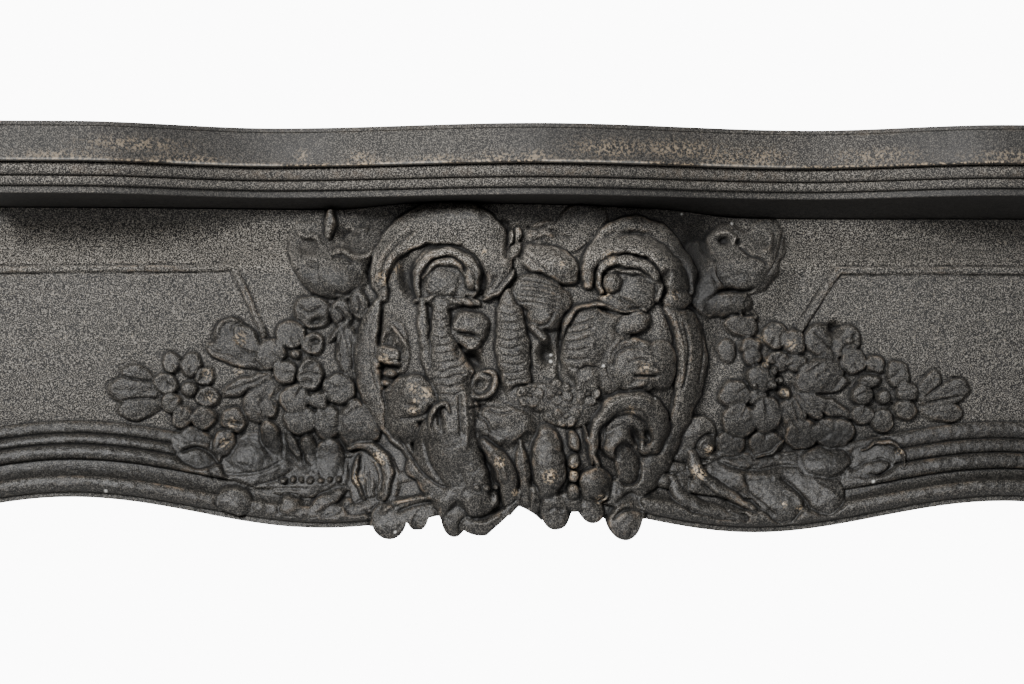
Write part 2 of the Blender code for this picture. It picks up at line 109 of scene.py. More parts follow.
def seam(x):
    """Height of the joint between frieze and shelf."""
    return SEAM_HEIGHT - SEAM_LEAN * np.tanh(x / 130.0) + SEAM_RISE * smooth((132.0 - np.abs(x)) / 56.0)


def lower_edge(x):
    """The accolade line that the lower moulding follows."""
    wave = np.cos(math.pi * (np.abs(x) - 135.0) / 153.0)
    return LOW_LINE - LOW_WAVE * wave - LOW_LEAN * np.tanh(x / 100.0)


def outline(x):
    """Lower silhouette: the moulding with the leaf tips that hang below it and the cleft."""
    z = lower_edge(x)
    for centre, half, top, bottom in HANGING_TIPS:
        inside = np.clip(1.0 - ((x - centre) / half) ** 2, 0.0, 1.0)
        z = np.where(inside > 0.0, np.minimum(z, top + (bottom - top) * inside ** 0.42), z)
    off = np.abs(x - CLEFT_X)
    z = np.where(off < 20.0, np.maximum(z, CLEFT_TOP - 0.9 * off), z)
    cleft = CLEFT_TOP - np.where(x < CLEFT_X, 1.1 * off, 0.3 * off + 0.025 * off * off)
    z = np.where((x > CLEFT_X - 6.0) & (x < 1.0), cleft, z)
    return np.where((x > 15.0) & (x < 27.0), np.minimum(z, TIP_BRIDGE), z)


def ground(x, z):
    """Cove, panel and slope of the lower moulding without its reeds, and the way down the slope."""
    low = lower_edge(x)
    top = low + MOULDING_TALL + 1.5 * np.tanh(x / 100.0)
    belly = np.clip((z - top) / (42.0 - top), 0.0, 1.0)
    reach = panel_reach(x) + PANEL_BELLY * np.sin(math.pi * belly)
    reach = reach - COVE_DEPTH * smooth((z - COVE_FOOT) / COVE_SOFTNESS)
    reach = reach + COVE_LIP * smooth((z - COVE_MIDDLE) / COVE_SOFTNESS)
    drop = (top - z) / (top - low)
    return reach + MOULDING_REACH * np.clip(drop, 0.0, 1.0) ** 1.2, drop


def reeds(x, reach, drop):
    """Three reeds, a hollow and a torus over the slope of the lower moulding."""
    side = smooth((x + 240.0) / 470.0)
    cuts = [0.0] + [left + (right - left) * side for left, right in REED_ENDS]
    flat = panel_reach(x)
    for k, (foot, crest) in enumerate(((0.8, 3.0), (4.0, 3.0), (7.6, 3.8))):
        u = (drop - cuts[k]) / (cuts[k + 1] - cuts[k])
        bow = foot + 1.6 * u + crest * np.sqrt(np.clip(1.0 - (2.0 * u - 1.0) ** 2, 0.0, 1.0))
        reach = np.where((u >= 0.0) & (u < 1.0), flat + bow, reach)
    u = (drop - cuts[3]) / (cuts[4] - cuts[3])
    reach = np.where((u >= 0.0) & (u < 1.0), flat + 7.8 + 7.5 * np.clip(u, 0.0, 1.0) ** 2, reach)
    u = (drop - cuts[4]) / (cuts[5] - cuts[4])
    torus = TORUS_REACH + 5.6 * np.sqrt(np.clip(1.0 - (2.0 * u - 0.9) ** 2 / 1.21, 0.0, 1.0))
    reach = np.where((u >= 0.0) & (u < 1.0), flat + torus, reach)
    return np.where(drop >= cuts[5], flat + TORUS_REACH, reach)


def swelling(x, z):
    """The low dome that carries the cartouche."""
    away = ((x + 1.0) / 116.0) ** 2 + ((z - 8.0) / 118.0) ** 2
    return DOME_HEIGHT * smooth(1.6 * (1.0 - away))


def turned(x, z, cx, cz, degrees):
    """Places as seen from a centre, along and across a turned axis."""
    c = math.cos(math.radians(degrees))
    s = math.sin(math.radians(degrees))
    return (x - cx) * c + (z - cz) * s, (z - cz) * c - (x - cx) * s


def uneven(x, z):
    """Small drifts of the carver's hand, up to about a millimetre."""
    along_x = 0.34 * np.sin(0.37 * x + 0.25 * z + 1.0) + 0.26 * np.sin(0.23 * x - 0.55 * z)
    along_z = 0.34 * np.sin(0.33 * z - 0.29 * x + 2.0) + 0.26 * np.sin(0.27 * z + 0.52 * x)
    along_x = along_x + 0.12 * np.sin(0.9 * z + 0.4 * x)
    along_z = along_z + 0.12 * np.sin(0.85 * x - 0.5 * z)
    return x + along_x, z + along_z


def crown(q, h, edge, cup):
    """Height over the ground of a flat-topped rounded form; q is 0 in its middle and 1 at its rim."""
    rise = (1.0 - np.clip(q, 0.0, 1.0) ** 2.3) ** 0.75
    edge = 0.16 + 0.7 * edge
    return h * (edge + (1.0 - edge) * rise) * (1.0 - 0.6 * cup * np.exp(-(q / 0.6) ** 2))


def boss(cx, cz, a, b, turn=0.0, h=8.0, edge=0.35, cup=0.0, power=2.0):
    """An oval boss."""
    reach = max(a, b)

    def form(x, z):
        u, v = turned(x, z, cx, cz, turn)
        q = ((np.abs(u) / a) ** power + (np.abs(v) / b) ** power) ** (1.0 / power)
        return (1.0 - q) * min(a, b), crown(q, h, edge, cup)

    return (cx - reach, cx + reach, cz - reach, cz + reach), form


def leaf(x0, z0, x1, z1, width, h=7.0, edge=0.35, wide=0.62, cup=0.0, vein=0.0):
    """An egg-shaped leaf or petal from its root to its tip."""
    length = math.hypot(x1 - x0, z1 - z0)
    turn = math.degrees(math.atan2(z1 - z0, x1 - x0))
    side = width / 2

    def form(x, z):
        u, v = turned(x, z, x0, z0, turn)
        span = np.where(u < wide * length, wide * length, (1.0 - wide) * length)
        q = np.sqrt(((u - wide * length) / span) ** 2 + (v / side) ** 2)
        high = crown(q, h, edge, cup) - h * vein * np.exp(-(v / max(0.9, 0.1 * width)) ** 2)
        return (1.0 - q) * side, high * (0.7 + 0.3 * np.clip(u / length, 0.0, 1.0))

    return (min(x0, x1) - side, max(x0, x1) + side, min(z0, z1) - side, max(z0, z1) + side), form


def curve(points, sharp=False):
    """Points along a curve through the given ones, with the share of the way at each."""
    knots = np.array(points, float)
    ends = np.vstack([2 * knots[0] - knots[1], knots, 2 * knots[-1] - knots[-2]])
    line = []
    share = []
    for k in range(len(knots) - 1):
        a, b, c, d = ends[k:k + 4]
        count = max(3, int(np.hypot(*(c - b))))
        u = np.linspace(0.0, 1.0, count, endpoint=False)[:, None]
        bend = 2 * b + (c - a) * u + (2 * a - 5 * b + 4 * c - d) * u ** 2 + (3 * b - a - 3 * c + d) * u ** 3
        line.append(b + (c - b) * u if sharp else 0.5 * bend)
        share.append((k + u[:, 0]) / (len(knots) - 1))
    line.append(knots[-1:])
    share.append(np.ones(1))
    return np.vstack(line), np.concatenate(share)


def along(x, z, line, share):
    """Distance to a curve, the side, the share of the way and the length run to the nearest point."""
    best = np.full(x.shape, 1e9)
    way = np.zeros(x.shape)
    run = np.zeros(x.shape)
    side = np.ones(x.shape)
    gone = 0.0
    for k in range(len(line) - 1):
        ax, az = line[k]
        bx, bz = line[k + 1] - line[k]
        span = bx * bx + bz * bz
        t = np.clip(((x - ax) * bx + (z - az) * bz) / span, 0.0, 1.0)
        far = (x - ax - t * bx) ** 2 + (z - az - t * bz) ** 2
        near = far < best
        best = np.where(near, far, best)
        way = np.where(near, share[k] + t * (share[k + 1] - share[k]), way)
        run = np.where(near, gone + t * math.sqrt(span), run)
        side = np.where(near, np.sign(bx * (z - az) - bz * (x - ax)), side)
        gone += math.sqrt(span)
    return np.sqrt(best), side, way, run


def band(points, width, h, edge=0.3, pitch=0.0, lean=0.0, strip=False):
    """A ridge along a curve, or a flat strip; widths and heights are spread evenly over its length."""
    line, share = curve(points, sharp=strip)
    width = width if isinstance(width, tuple) else (width, width)
    h = h if isinstance(h, tuple) else (h, h)
    margin = max(width) / 2
    (x0, z0), (x1, z1) = line.min(0) - margin, line.max(0) + margin

    def form(x, z):
        far, side, way, run = along(x, z, line, share)
        half = np.interp(way, np.linspace(0.0, 1.0, len(width)), width) / 2
        high = np.interp(way, np.linspace(0.0, 1.0, len(h)), h)
        q = far / half
        inside = np.clip(q, 0.0, 1.0)
        rise = 1.0 - inside ** 6 if strip else (1.0 - inside ** 2.3) ** 0.7
        if pitch:
            ribs = np.sin(math.pi * (run + 0.5 * q * q * pitch) / pitch) / 0.34
            rise = rise * (1.0 - 0.13 * np.exp(-ribs * ribs))
        rise = rise * (1.0 + lean * side * inside)
        return (1.0 - q) * half, high * (edge + (1.0 - edge) * rise)

    return (x0, x1, z0, z1), form


class Relief:
    """Reach of the carved front, in millimetres, on a grid whose rows follow the lower outline."""

    def __init__(self, step):
        self.xs = np.linspace(-HALF_LENGTH, HALF_LENGTH, int(2.0 * HALF_LENGTH / step) + 1)
        edge = lower_edge(self.xs)
        levels = [outline(self.xs), edge + 7.0, edge + 52.0, seam(self.xs) - SEAM_GAP]
        rows = []
        for low, high, deep in zip(levels, levels[1:], (16.0, 45.0, 139.0)):
            v = np.linspace(0.0, 1.0, round(deep / step), endpoint=False)[:, None]
            rows.append(low + (high - low) * v)
        self.z = np.vstack(rows + [levels[-1][None, :]])
        self.x = np.repeat(self.xs[None, :], len(self.z), 0)
        self.step = step
        plain, drop = ground(self.x, self.z)
        dome = swelling(self.x, self.z)
        self.ground = plain + dome
        self.reach = np.where(dome > 0.3, self.ground, reeds(self.x, plain, drop))
        self.lowest = self.z.min(1)
        self.highest = self.z.max(1)
        self.bold = 1.0

    def window(self, bounds, margin):
        """The rows and columns of the grid that a shape can touch."""
        x0, x1, z0, z1 = bounds
        first, last = np.searchsorted(self.xs, (x0 - margin, x1 + margin))
        rows = np.nonzero((self.highest > z0 - margin) & (self.lowest < z1 + margin))[0]
        return slice(rows[0], rows[-1] + 1), slice(first, last)

    def put(self, *shapes, moat=0.9, over=True, soft=1.5, melt=7.0, rim=0.14, steady=False):
        """Lay shapes on the ground as one form, with a slight rim and a crevice, both worn in places."""
        bounds = np.array([shape[0] for shape in shapes])
        edges = (bounds[:, 0].min(), bounds[:, 1].max(), bounds[:, 2].min(), bounds[:, 3].max())
        box = self.window(edges, 3.0)
        x, z = self.x[box], self.z[box]
        depth = np.full(x.shape, -9.0)
        total = np.zeros(x.shape)
        if not steady:
            x, z = uneven(x, z)
        for _, form in shapes:
            inside, high = form(x, z)
            depth = np.maximum(depth, inside)
            total += np.where(inside > 0.0, np.maximum(high, 0.0), 0.0) ** melt
        high = self.bold * total ** (1.0 / melt)
        high += rim * smooth((depth.max() - 3.0) / 2.0) * np.exp(-((depth - 1.5) / 0.8) ** 2)
        worn = smooth(0.5 + 0.9 * np.sin(0.19 * x + 0.11 * z + 0.7) * np.sin(0.16 * z - 0.13 * x + 1.3))
        mask = smooth(depth / (max(soft, 1.3 * self.step) * (1.0 + 0.8 * worn)))
        here = self.reach[box]
        laid = here * (1.0 - mask) + (self.ground[box] + high) * mask
        here[:] = laid if over else np.maximum(here, laid)
        here -= 0.85 * moat * (1.0 - 0.55 * worn) * np.exp(-(depth / max(0.6, self.step)) ** 2)

    def spot(self, cx, cz, a, b, turn, spread):
        """Window of an oval and the distance from its centre, in parts of its half sizes."""
        reach = spread * max(a, b)
        box = self.window((cx - reach, cx + reach, cz - reach, cz + reach), 0.0)
        u, v = turned(self.x[box], self.z[box], cx, cz, turn)
        return box, np.sqrt((u / a) ** 2 + (v / b) ** 2)

    def mound(self, cx, cz, a, b, turn, h):
        """Raise the ground, and what is on it, in a soft swell."""
        box, away = self.spot(cx, cz, a, b, turn, 1.0)
        rise = h * smooth(1.8 * (1.0 - away))
        self.ground[box] += rise
        raised = np.maximum(self.reach[box], self.ground[box])
        self.reach[box] = np.where(rise > 0.05, raised, self.reach[box])

    def swell(self, cx, cz, a, b, turn, h):
        """A soft lump, or a hollow where h is below 0, in whatever is there."""
        box, away = self.spot(cx, cz, a, b, turn, 1.0)
        self.reach[box] += h * smooth(1.25 * (1.0 - away))

    def pit(self, cx, cz, a, b, turn=0.0, depth=5.0):
        """A dark hollow with a flat floor."""
        box, away = self.spot(cx, cz, a, b, turn, 2.0)
        self.reach[box] -= depth * np.exp(-away ** 3)

    def line(self, points, width, fading, start):
        """Window of a curve, the distance from it and a share that fades at both its ends."""
        line, share = curve(points)
        (x0, z0), (x1, z1) = line.min(0) - width, line.max(0) + width
        box = self.window((x0, x1, z0, z1), 2.0)
        far, _, way, _ = along(self.x[box], self.z[box], line, share)
        return box, far, smooth(np.minimum(way, 1.0 - way) * fading + start)

    def groove(self, points, width=1.8, depth=1.8):
        """A cut line that follows a curve."""
        box, far, fade = self.line(points, width, 6.0, 0.2)
        self.reach[box] -= depth * fade * np.exp(-(2.0 * far / max(width, 1.7 * self.step)) ** 2)

    def ridge(self, points, width, height):
        """A soft raised line on whatever is there."""
        box, far, fade = self.line(points, width, 5.0, 0.15)
        self.reach[box] += height * fade * np.exp(-(2.0 * far / width) ** 2)

    def rosette(self, cx, cz, radius, turn, h):
        """Five petals, by turns high and low, round a small eye."""
        for k in range(5):
            angle = math.radians(turn + 72.0 * k)
            tip_x = cx + radius * math.cos(angle)
            tip_z = cz + radius * math.sin(angle)
            petal = leaf(cx, cz, tip_x, tip_z, radius, h - 1.2 * (k % 2), 0.4, cup=0.3)
            self.put(petal, moat=0.3, rim=0.05)
        self.put(boss(cx, cz, 0.2 * radius, 0.2 * radius, 0, h + 0.3), moat=0.2, rim=0.0)


def carve_ground(r):
    """Swells that lift the sprays, and the narrow raised strip round each side panel."""
    for cx, cz, a, b, turn, h in ((-150, -30, 66, 46, -25, 3.5), (-217, -29, 30, 27, 0, 2.0),
                                  (-160, -92, 60, 24, 0, 2.0), (150, -26, 56, 46, 25, 3.5),
                                  (215, -34, 34, 30, 0, 2.0), (160, -90, 62, 24, 0, 2.0),
                                  (-128, 50, 42, 42, 0, 5.0), (126, 46, 42, 42, 0, 5.0),
                                  (-60, -70, 60, 50, 0, 5.0)):
        r.mound(cx, cz, a, b, turn, h)
    r.put(band([(-352, 44.6), (-205, 46.0), (-191, 47.0), (-180, 24), (-168, -3)], 5.4, 1.5, 0.6,
               strip=True), moat=1.3, steady=True)
    r.put(band([(352, 44.8), (205, 45.2), (190, 45.4), (176, 25), (165, 8)], 6.0, 1.5, 0.6, strip=True),
          moat=1.3, steady=True)


def carve_side_domes(r):
    """Soft masses with dark hollows, tucked under the shelf to both sides of the cartouche."""
    r.put(boss(-131, 45, 27, 18, -25, 6.5, -0.2), boss(-143, 60, 15, 18, 20, 5, -0.2),
          boss(-110, 60, 16, 13, 15, 6, -0.2), melt=4, moat=0.1, rim=0.0)
    r.swell(-125, 38, 17, 13, -10, 3.4)
    r.groove([(-158, 66), (-156, 52), (-149, 38), (-141, 29), (-129, 26.5), (-117, 29)], 1.7, 1.6)
    r.put(band([(-131, 84), (-130.5, 74), (-132, 66)], (6, 9.5, 6), (7, 9, 7), edge=0.0), moat=0.2, rim=0.0)
    r.pit(-144, 60, 6.0, 5.0, -20, 5)
    r.pit(-119, 66, 5.5, 8, 25, 6)
    r.pit(-141, 48, 4, 2.4, -15, 3)
    r.pit(-104, 46, 4, 9, -20, 6)
    r.ridge([(-128, 56), (-122, 57), (-116, 53), (-107, 53.5), (-102, 60)], 4.0, 4.5)
    r.groove([(-130, 53), (-122, 53.4), (-116, 49)], 3.0, 2.6)
    r.ridge([(-152, 70), (-146, 66), (-140, 66), (-136, 60)], 4.0, 3.0)
    r.ridge([(-122, 73), (-114, 70), (-106, 72)], 3.6, 3.0)
    r.groove([(-128, 31), (-121, 29.5), (-113, 33)], 2.4, 2.4)
    r.put(boss(104, 40, 15, 26, 8, 7, 0.1), moat=0.4)
    r.pit(101, 58, 10, 16, -25, 7)
    r.pit(99, 42, 8, 18, -8, 6)
    r.put(boss(131, 50, 22, 21, 25, 9, -0.2), boss(120, 62, 14, 14, 0, 7, -0.2),
          boss(144, 62, 14, 18, -20, 6, -0.2), melt=4, moat=0.1, rim=0.0)
    r.groove([(157, 74), (154, 62), (148, 50), (141, 40)], 1.7, 1.0)
    r.put(boss(118, 24, 17, 9, 6, 7.0, -0.1), moat=0.15, rim=0.0)
    r.groove([(111, 31.4), (119, 32.6), (127, 31.6), (136, 33.6)], 2.6, 4.5)
    r.ridge([(113, 29), (122, 29.6), (133, 30)], 2.6, 1.6)
    r.ridge([(108, 62), (112, 68), (119, 69), (124, 65), (122, 60)], 3.6, 3.2)
    r.pit(117, 63.5, 3.2, 2.4, 0, 5)
    r.pit(126, 63, 3.0, 2.0, 20, 4)
    r.groove([(126, 60), (129, 57.5), (133, 54), (140, 51.6), (143, 47)], 2.4, 3.4)
    r.groove([(104, 66), (106, 56), (112, 50)], 3.6, 3.4)
    r.groove([(112, 36), (108, 44), (112, 52)], 4.0, 2.0)
    r.ridge([(148, 70), (146, 60), (140, 56)], 3.4, 2.4)
    r.put(band([(126, 19), (130, 14.5), (136, 15.5), (134.5, 19.5)], (3, 4.5, 4, 2.5), 7))


def carve_left_scroll(r):
    """Large scroll at the upper left: hood, dark hollow, nested volute and the flat it holds."""
    hood = [(-97, 28), (-100, 41), (-95, 56), (-83, 68), (-66, 74), (-48, 73), (-34, 64), (-28, 52),
            (-27, 40), (-32, 29)]
    r.put(band(hood, (8, 13, 18, 24, 30, 31, 29, 22, 18, 8), (7, 10, 11, 13, 15, 15, 14, 13, 10, 7),
               lean=0.06), moat=0.7)
    r.ridge([(-101, 34), (-100, 48), (-91, 63), (-77, 75)], 2.6, 1.5)
    r.groove([(-98, 38), (-96, 50), (-88, 61), (-76, 71)], 1.9, 1.8)
    r.groove([(-101, 30), (-96, 34), (-92, 30)], 2.0, 1.6)
    r.swell(-48, 66, 22, 11, -20, 1.6)
    r.put(boss(-58, 40, 23, 21, 0, 8, 0.6), moat=0.3)
    r.pit(-81, 42, 6.4, 14, 8, 12)
    r.put(band([(-75.5, 28), (-75.5, 42), (-69, 52), (-58, 55.6), (-47.5, 52), (-41, 43), (-39.4, 33)],
               (5, 7.5, 8, 8, 8, 8, 5), (8, 12, 14.5, 15, 15, 14.5, 12)), moat=0.4)
    r.put(band([(-72.6, 39), (-66.5, 46.6), (-57.5, 49.4), (-50, 46.6), (-47, 40)], (4, 5.6, 6, 5.6, 4),
               (10, 13, 14, 14, 12.5)), moat=0.45)
    r.put(boss(-43.6, 38.6, 4.8, 8.0, 4, 15.5, 0.5), moat=0.8)
    r.put(boss(-60.5, 36.4, 11.4, 9.2, 0, 11.2, 0.5, power=3.0), moat=0.5)
    r.ridge([(-66, 28), (-57, 29.5), (-52, 34)], 2.4, 0.9)
    r.put(band([(-77, 25.5), (-64, 26), (-51, 25.0), (-39, 24)], (5, 7, 7, 5), (8, 10, 10, 8)), moat=0.6)
    for x in (-64, -54.5, -46.5):
        r.groove([(x, 28.4), (x + 7.5, 22.8)], 1.8, 1.8)
    r.put(band([(-35, 26.5), (-27.5, 30), (-21.5, 36), (-17, 44)], (3, 5.4, 5.2, 3), 10, edge=0.4),
          moat=0.6)
    r.groove([(-40, 28), (-33, 33), (-27, 41)], 3.0, 2.0)
    r.put(leaf(-20, 48, -12, 63, 8.5, 9))
    r.put(leaf(-20, 57, -17.5, 70, 5.5, 8))
    r.put(leaf(-15.5, 60, -12, 72, 6, 8))
    r.groove([(-25, 76), (-19.5, 71), (-20.6, 60), (-22, 50)], 3.4, 3.6)


def carve_right_scroll(r):
    """Large scroll at the upper right with the rounded lobes between the two scrolls."""
    r.put(leaf(2, 56, 40, 84, 27, 6, 0.05, wide=0.7), boss(1, 68, 11, 8.5, 20, 5, 0.1), melt=4, moat=0.4)
    r.groove([(-9, 72), (-2, 70), (4, 72.5)], 2.6, 2.4)
    r.ridge([(-10, 67), (-3, 65.5), (4, 67), (9, 64.5)], 3.0, 2.0)
    r.groove([(6, 70), (12, 66), (20, 64)], 3.2, 2.0)
    r.put(boss(6, 48.5, 21, 12.2, -24, 14, 0.2), moat=0.9)
    r.groove([(-13, 57), (-5, 50.5), (3, 43)], 2.2, 1.6)
    r.ridge([(-16, 53), (-10, 47), (-2, 42)], 3.2, 2.0)
    r.groove([(-6, 60.4), (0, 60.8), (7, 59.6)], 2.2, 3.6)
    outer = [(30, 48), (35, 60), (46, 69), (61, 72.4), (77, 67.5), (88, 56), (94, 43), (94, 31)]
    r.put(band(outer, (7, 11, 14, 15, 14, 12, 10, 6), (8, 10, 12, 12, 12, 10, 9, 7)), moat=0.6)
    inner = [(29, 35), (29.5, 47), (38, 57), (53, 61), (68, 57.5), (79, 47.5), (85, 36), (84, 26)]
    r.put(band(inner, (8, 12, 15, 17, 19, 20, 19, 13), (8, 11, 14, 15, 15, 15, 12, 9)), moat=0.8)
    r.groove([(46, 65), (56, 67.2), (68, 65.6)], 2.4, 2.0)
    r.swell(58, 57, 24, 8, 0, 1.6)
    r.put(boss(57, 36, 19, 19, 0, 8, 0.6), moat=0.3)
    r.put(band([(37, 31), (35.2, 41), (42, 49), (55, 49.4), (67, 44.5), (73, 35), (72, 26)],
               (4, 6.5, 8.5, 9.5, 9.5, 7.5, 4), (9, 11, 13, 13.6, 13.6, 12, 9)), moat=0.8)
    for k in range(7):
        turn = math.radians(158.0 - 17.0 * k)
        r.swell(56 + 21.5 * math.cos(turn), 31 + 22.5 * math.sin(turn), 2.6, 2.6, 0, 1.1)
    r.put(band([(40, 43.0), (50, 43.8), (60, 42.0), (69, 37)], (3, 4.6, 4.6, 3), 12.5, edge=0.4), moat=0.5)
    r.put(boss(43.6, 36.6, 6.8, 7.4, 0, 14.5, 0.4), moat=1.0)
    r.put(boss(60, 30.5, 11.4, 11.4, 0, 10.6, 0.4, power=2.6), moat=0.5)
    r.pit(75.5, 39, 2.8, 5.5, -35, 5)
    r.put(leaf(33, 28.5, 58, 19.5, 9.5, 9, vein=0.1))
    r.put(boss(85, 26.5, 11, 7, 5, 11, 0.3), moat=0.7)
    r.groove([(76, 29), (80, 24)], 1.8, 1.2)
    r.groove([(82, 31), (86, 27)], 1.8, 1.2)


def carve_shells(r):
    """Ribbed shell columns, the bosses between them and the fan that spreads to the right."""
    r.put(band([(-73, 25), (-72.5, 10), (-70, -8), (-64, -26)], (7, 9, 10, 8), 6, edge=0.1), moat=0.4)
    r.put(band([(-61.5, 23), (-61, 8), (-58.5, -6), (-55, -20), (-52, -34)], (12, 15, 21, 30, 27),
               (9, 10, 11.5, 12.5, 12), edge=0.2, pitch=5.0), moat=0.6)
    r.put(band([(-19.4, 27), (-18.8, 14), (-18, 1), (-16.6, -13), (-15, -27)], (14, 19, 22, 22, 19),
               (9, 11, 11.5, 11, 8), edge=0.2, pitch=5.1), moat=0.7)
    r.put(boss(-2, 30, 18, 13, -14, 10.5, -0.1), boss(3, 16.5, 12, 11, 0, 9.5, -0.1),
          boss(10, 25, 11, 9, 0, 6.5, -0.1), melt=4, moat=0.15, rim=0.0)
    for k in range(5):
        r.groove([(-14, 38.4 - 3.4 * k), (-1, 37 - 3.4 * k), (11, 33.4 - 3.2 * k)], 1.6, 1.1)
    r.groove([(8, 19), (4, 11.5), (-3, 9.5)], 2.2, 1.6)
    r.put(boss(27, 0, 15, 25, -14, 10, 0.1), boss(40, 6, 17, 14, 20, 9, 0.1),
          boss(44, -14, 14, 20, 0, 7, 0.05), melt=5, moat=0.5)
    for x0, z0, x1, z1 in (((16, 10, 34, 15), (14.6, 5, 32, 9), (13.8, 0, 30, 3),
                                          (13.6, -5, 29, -3.5), (14.6, -10, 29, -10),
                                          (16.4, -15, 29, -16))):
        r.groove([(x0, z0), (0.5 * (x0 + x1), 0.5 * (z0 + z1) - 1.0), (x1, z1)], 1.7, 1.2)
    r.put(band([(13, 2), (15.5, 13), (24, 21.6), (38, 22.6), (50, 18.4), (64, 19.6)], (3, 5, 5.5, 5, 4, 3),
               10.5, edge=0.5), moat=0.7)
    r.put(boss(-43.6, 9.4, 12.6, 10.4, -8, 11.5, 0.2, 0.0, 2.5), moat=0.6)
    r.put(leaf(-55, 4.6, -36, -2.4, 11, 10.5, 0.2), moat=0.5)
    r.groove([(-55, 7.4), (-50, 5.8), (-45, 4.4), (-38, 4.6)], 2.2, 2.2)
    r.swell(-42, 2.6, 5, 3.6, 0, -1.2)
    r.pit(-41, -11.5, 3.6, 6.5, 48, 9)
    r.pit(-50, -5, 2.6, 4, 0, 3)
    r.ridge([(-48, -6), (-41, -3.6), (-36, -6.5)], 3.0, 3.2)
    r.swell(4, 13, 9, 8, 0, 1.5)
    r.put(leaf(-10, 13, 6, -1, 8, 9.5, 0.3))
    r.swell(2, -8, 11, 13, 0, 1.6)
    r.ridge([(0, 1), (-4.6, -5), (-3.6, -13), (1, -17)], 2.6, 1.4)
    r.pit(3.4, -8, 4.6, 6.6, 12, 11)
    r.groove([(14.5, 15), (11.8, 0), (11, -16), (13, -28)], 4.0, 3.2)
    r.put(boss(58.4, -14.6, 20, 18, -8, 12, 0.02), boss(74, -14, 12, 17, 0, 9, 0.02), moat=0.2, melt=5)
    r.ridge([(40.4, -16), (42.5, -6), (50, -0.2), (60, 0.8), (66, -3)], 2.8, 2.0)
    r.groove([(44, -16), (46, -8), (52, -3.6), (60, -3)], 2.0, 1.8)
    r.put(leaf(42, 8, 69, 14.6, 15, 11, 0.2, wide=0.68), moat=0.9)
    r.ridge([(44, 14.6), (54, 17.4), (64, 18.2), (69.5, 14)], 2.4, 1.6)
    r.pit(66.4, 11, 1.8, 2.6, 0, 3)
    r.put(leaf(57, -14.5, 76, -18.4, 5.6, 13.5), moat=0.7)
    r.put(leaf(49, -29.5, 67, -23, 7.0, 12), moat=0.7)
    r.groove([(56, -20.6), (72, -21.0)], 1.9, 3.2)
    r.groove([(52, -13), (60, -10.4), (66, -11.6)], 1.7, 1.2)
    r.put(boss(29, -23, 10, 9.5, 0, 8, 0.1), moat=0.3)
    r.swell(-10, -20, 10, 8, 0, 1.0)


def carve_frames(r):
    """Broad bands that close the cartouche, with the broken recess at the left."""
    r.bold = 0.85
    r.put(band([(-98, 28), (-105, 14), (-107.5, -6), (-105, -26), (-98, -43), (-89, -58), (-80, -70)],
               (5, 13, 19, 18, 16, 12, 7), (6, 9, 10.5, 10.5, 10, 8, 6), edge=0.15, lean=-0.08), moat=0.8)
    r.groove([(-101, 22), (-105, 8), (-104, -14), (-99.6, -32)], 1.6, 0.9)
    r.groove([(-97, 24), (-99, 6), (-98, -10), (-97.5, -26)], 2.4, 2.6)
    r.put(boss(-89.5, -2, 9.5, 19, 10, 3.5, 0.4), moat=0.8)
    r.ridge([(-95, 9), (-98, 0), (-99.4, -7)], 2.4, 3.0)
    r.ridge([(-93, 11.5), (-86, 3), (-79.6, -6)], 2.4, 3.2)
    r.pit(-92.5, 2, 2.4, 4.6, -8, 3.2)
    r.pit(-87, -4, 2.0, 4.0, 30, 3.0)
    r.put(boss(-94.6, -7.8, 8.4, 6.4, -10, 11, 0.4, power=2.6), moat=0.7)
    r.groove([(-99, -3), (-93, -6.5), (-88, -5)], 1.6, 1.2)
    r.put(leaf(-99, -12.6, -85, -13.2, 4.6, 10), moat=0.9)
    r.groove([(-101, -16.4), (-94, -15.4), (-86, -16.4)], 2.2, 4.2)
    r.put(boss(-93, -19.6, 6.5, 3.0, 0, 8.5), moat=0.9)
    r.put(boss(-95.5, -25.2, 4.4, 3.0, 0, 8), moat=0.7)
    r.put(band([(81, 22), (91, 9), (94.5, -8), (93.5, -25), (90, -41), (85, -56), (76, -71), (63, -84),
                (49, -94)], (12, 21, 24, 21, 17, 14, 18, 23, 20),
                (7, 9.5, 10.5, 10.5, 10.5, 10, 10.5, 10.5, 8.5), edge=0.15, lean=0.06), moat=0.8)
    r.groove([(76, 20), (82.4, 4), (84.4, -12), (83, -28)], 1.8, 2.6)
    r.ridge([(80, 20), (86, 4), (88.2, -12), (87, -26)], 2.4, 1.3)
    r.groove([(88, 14), (91.6, -2), (90.6, -18), (88, -30)], 1.6, 1.8)
    r.groove([(98.5, 14), (101.6, 0), (101, -14), (98.5, -28)], 1.6, 1.5)
    r.swell(76, 4, 8, 22, 8, 2.0)


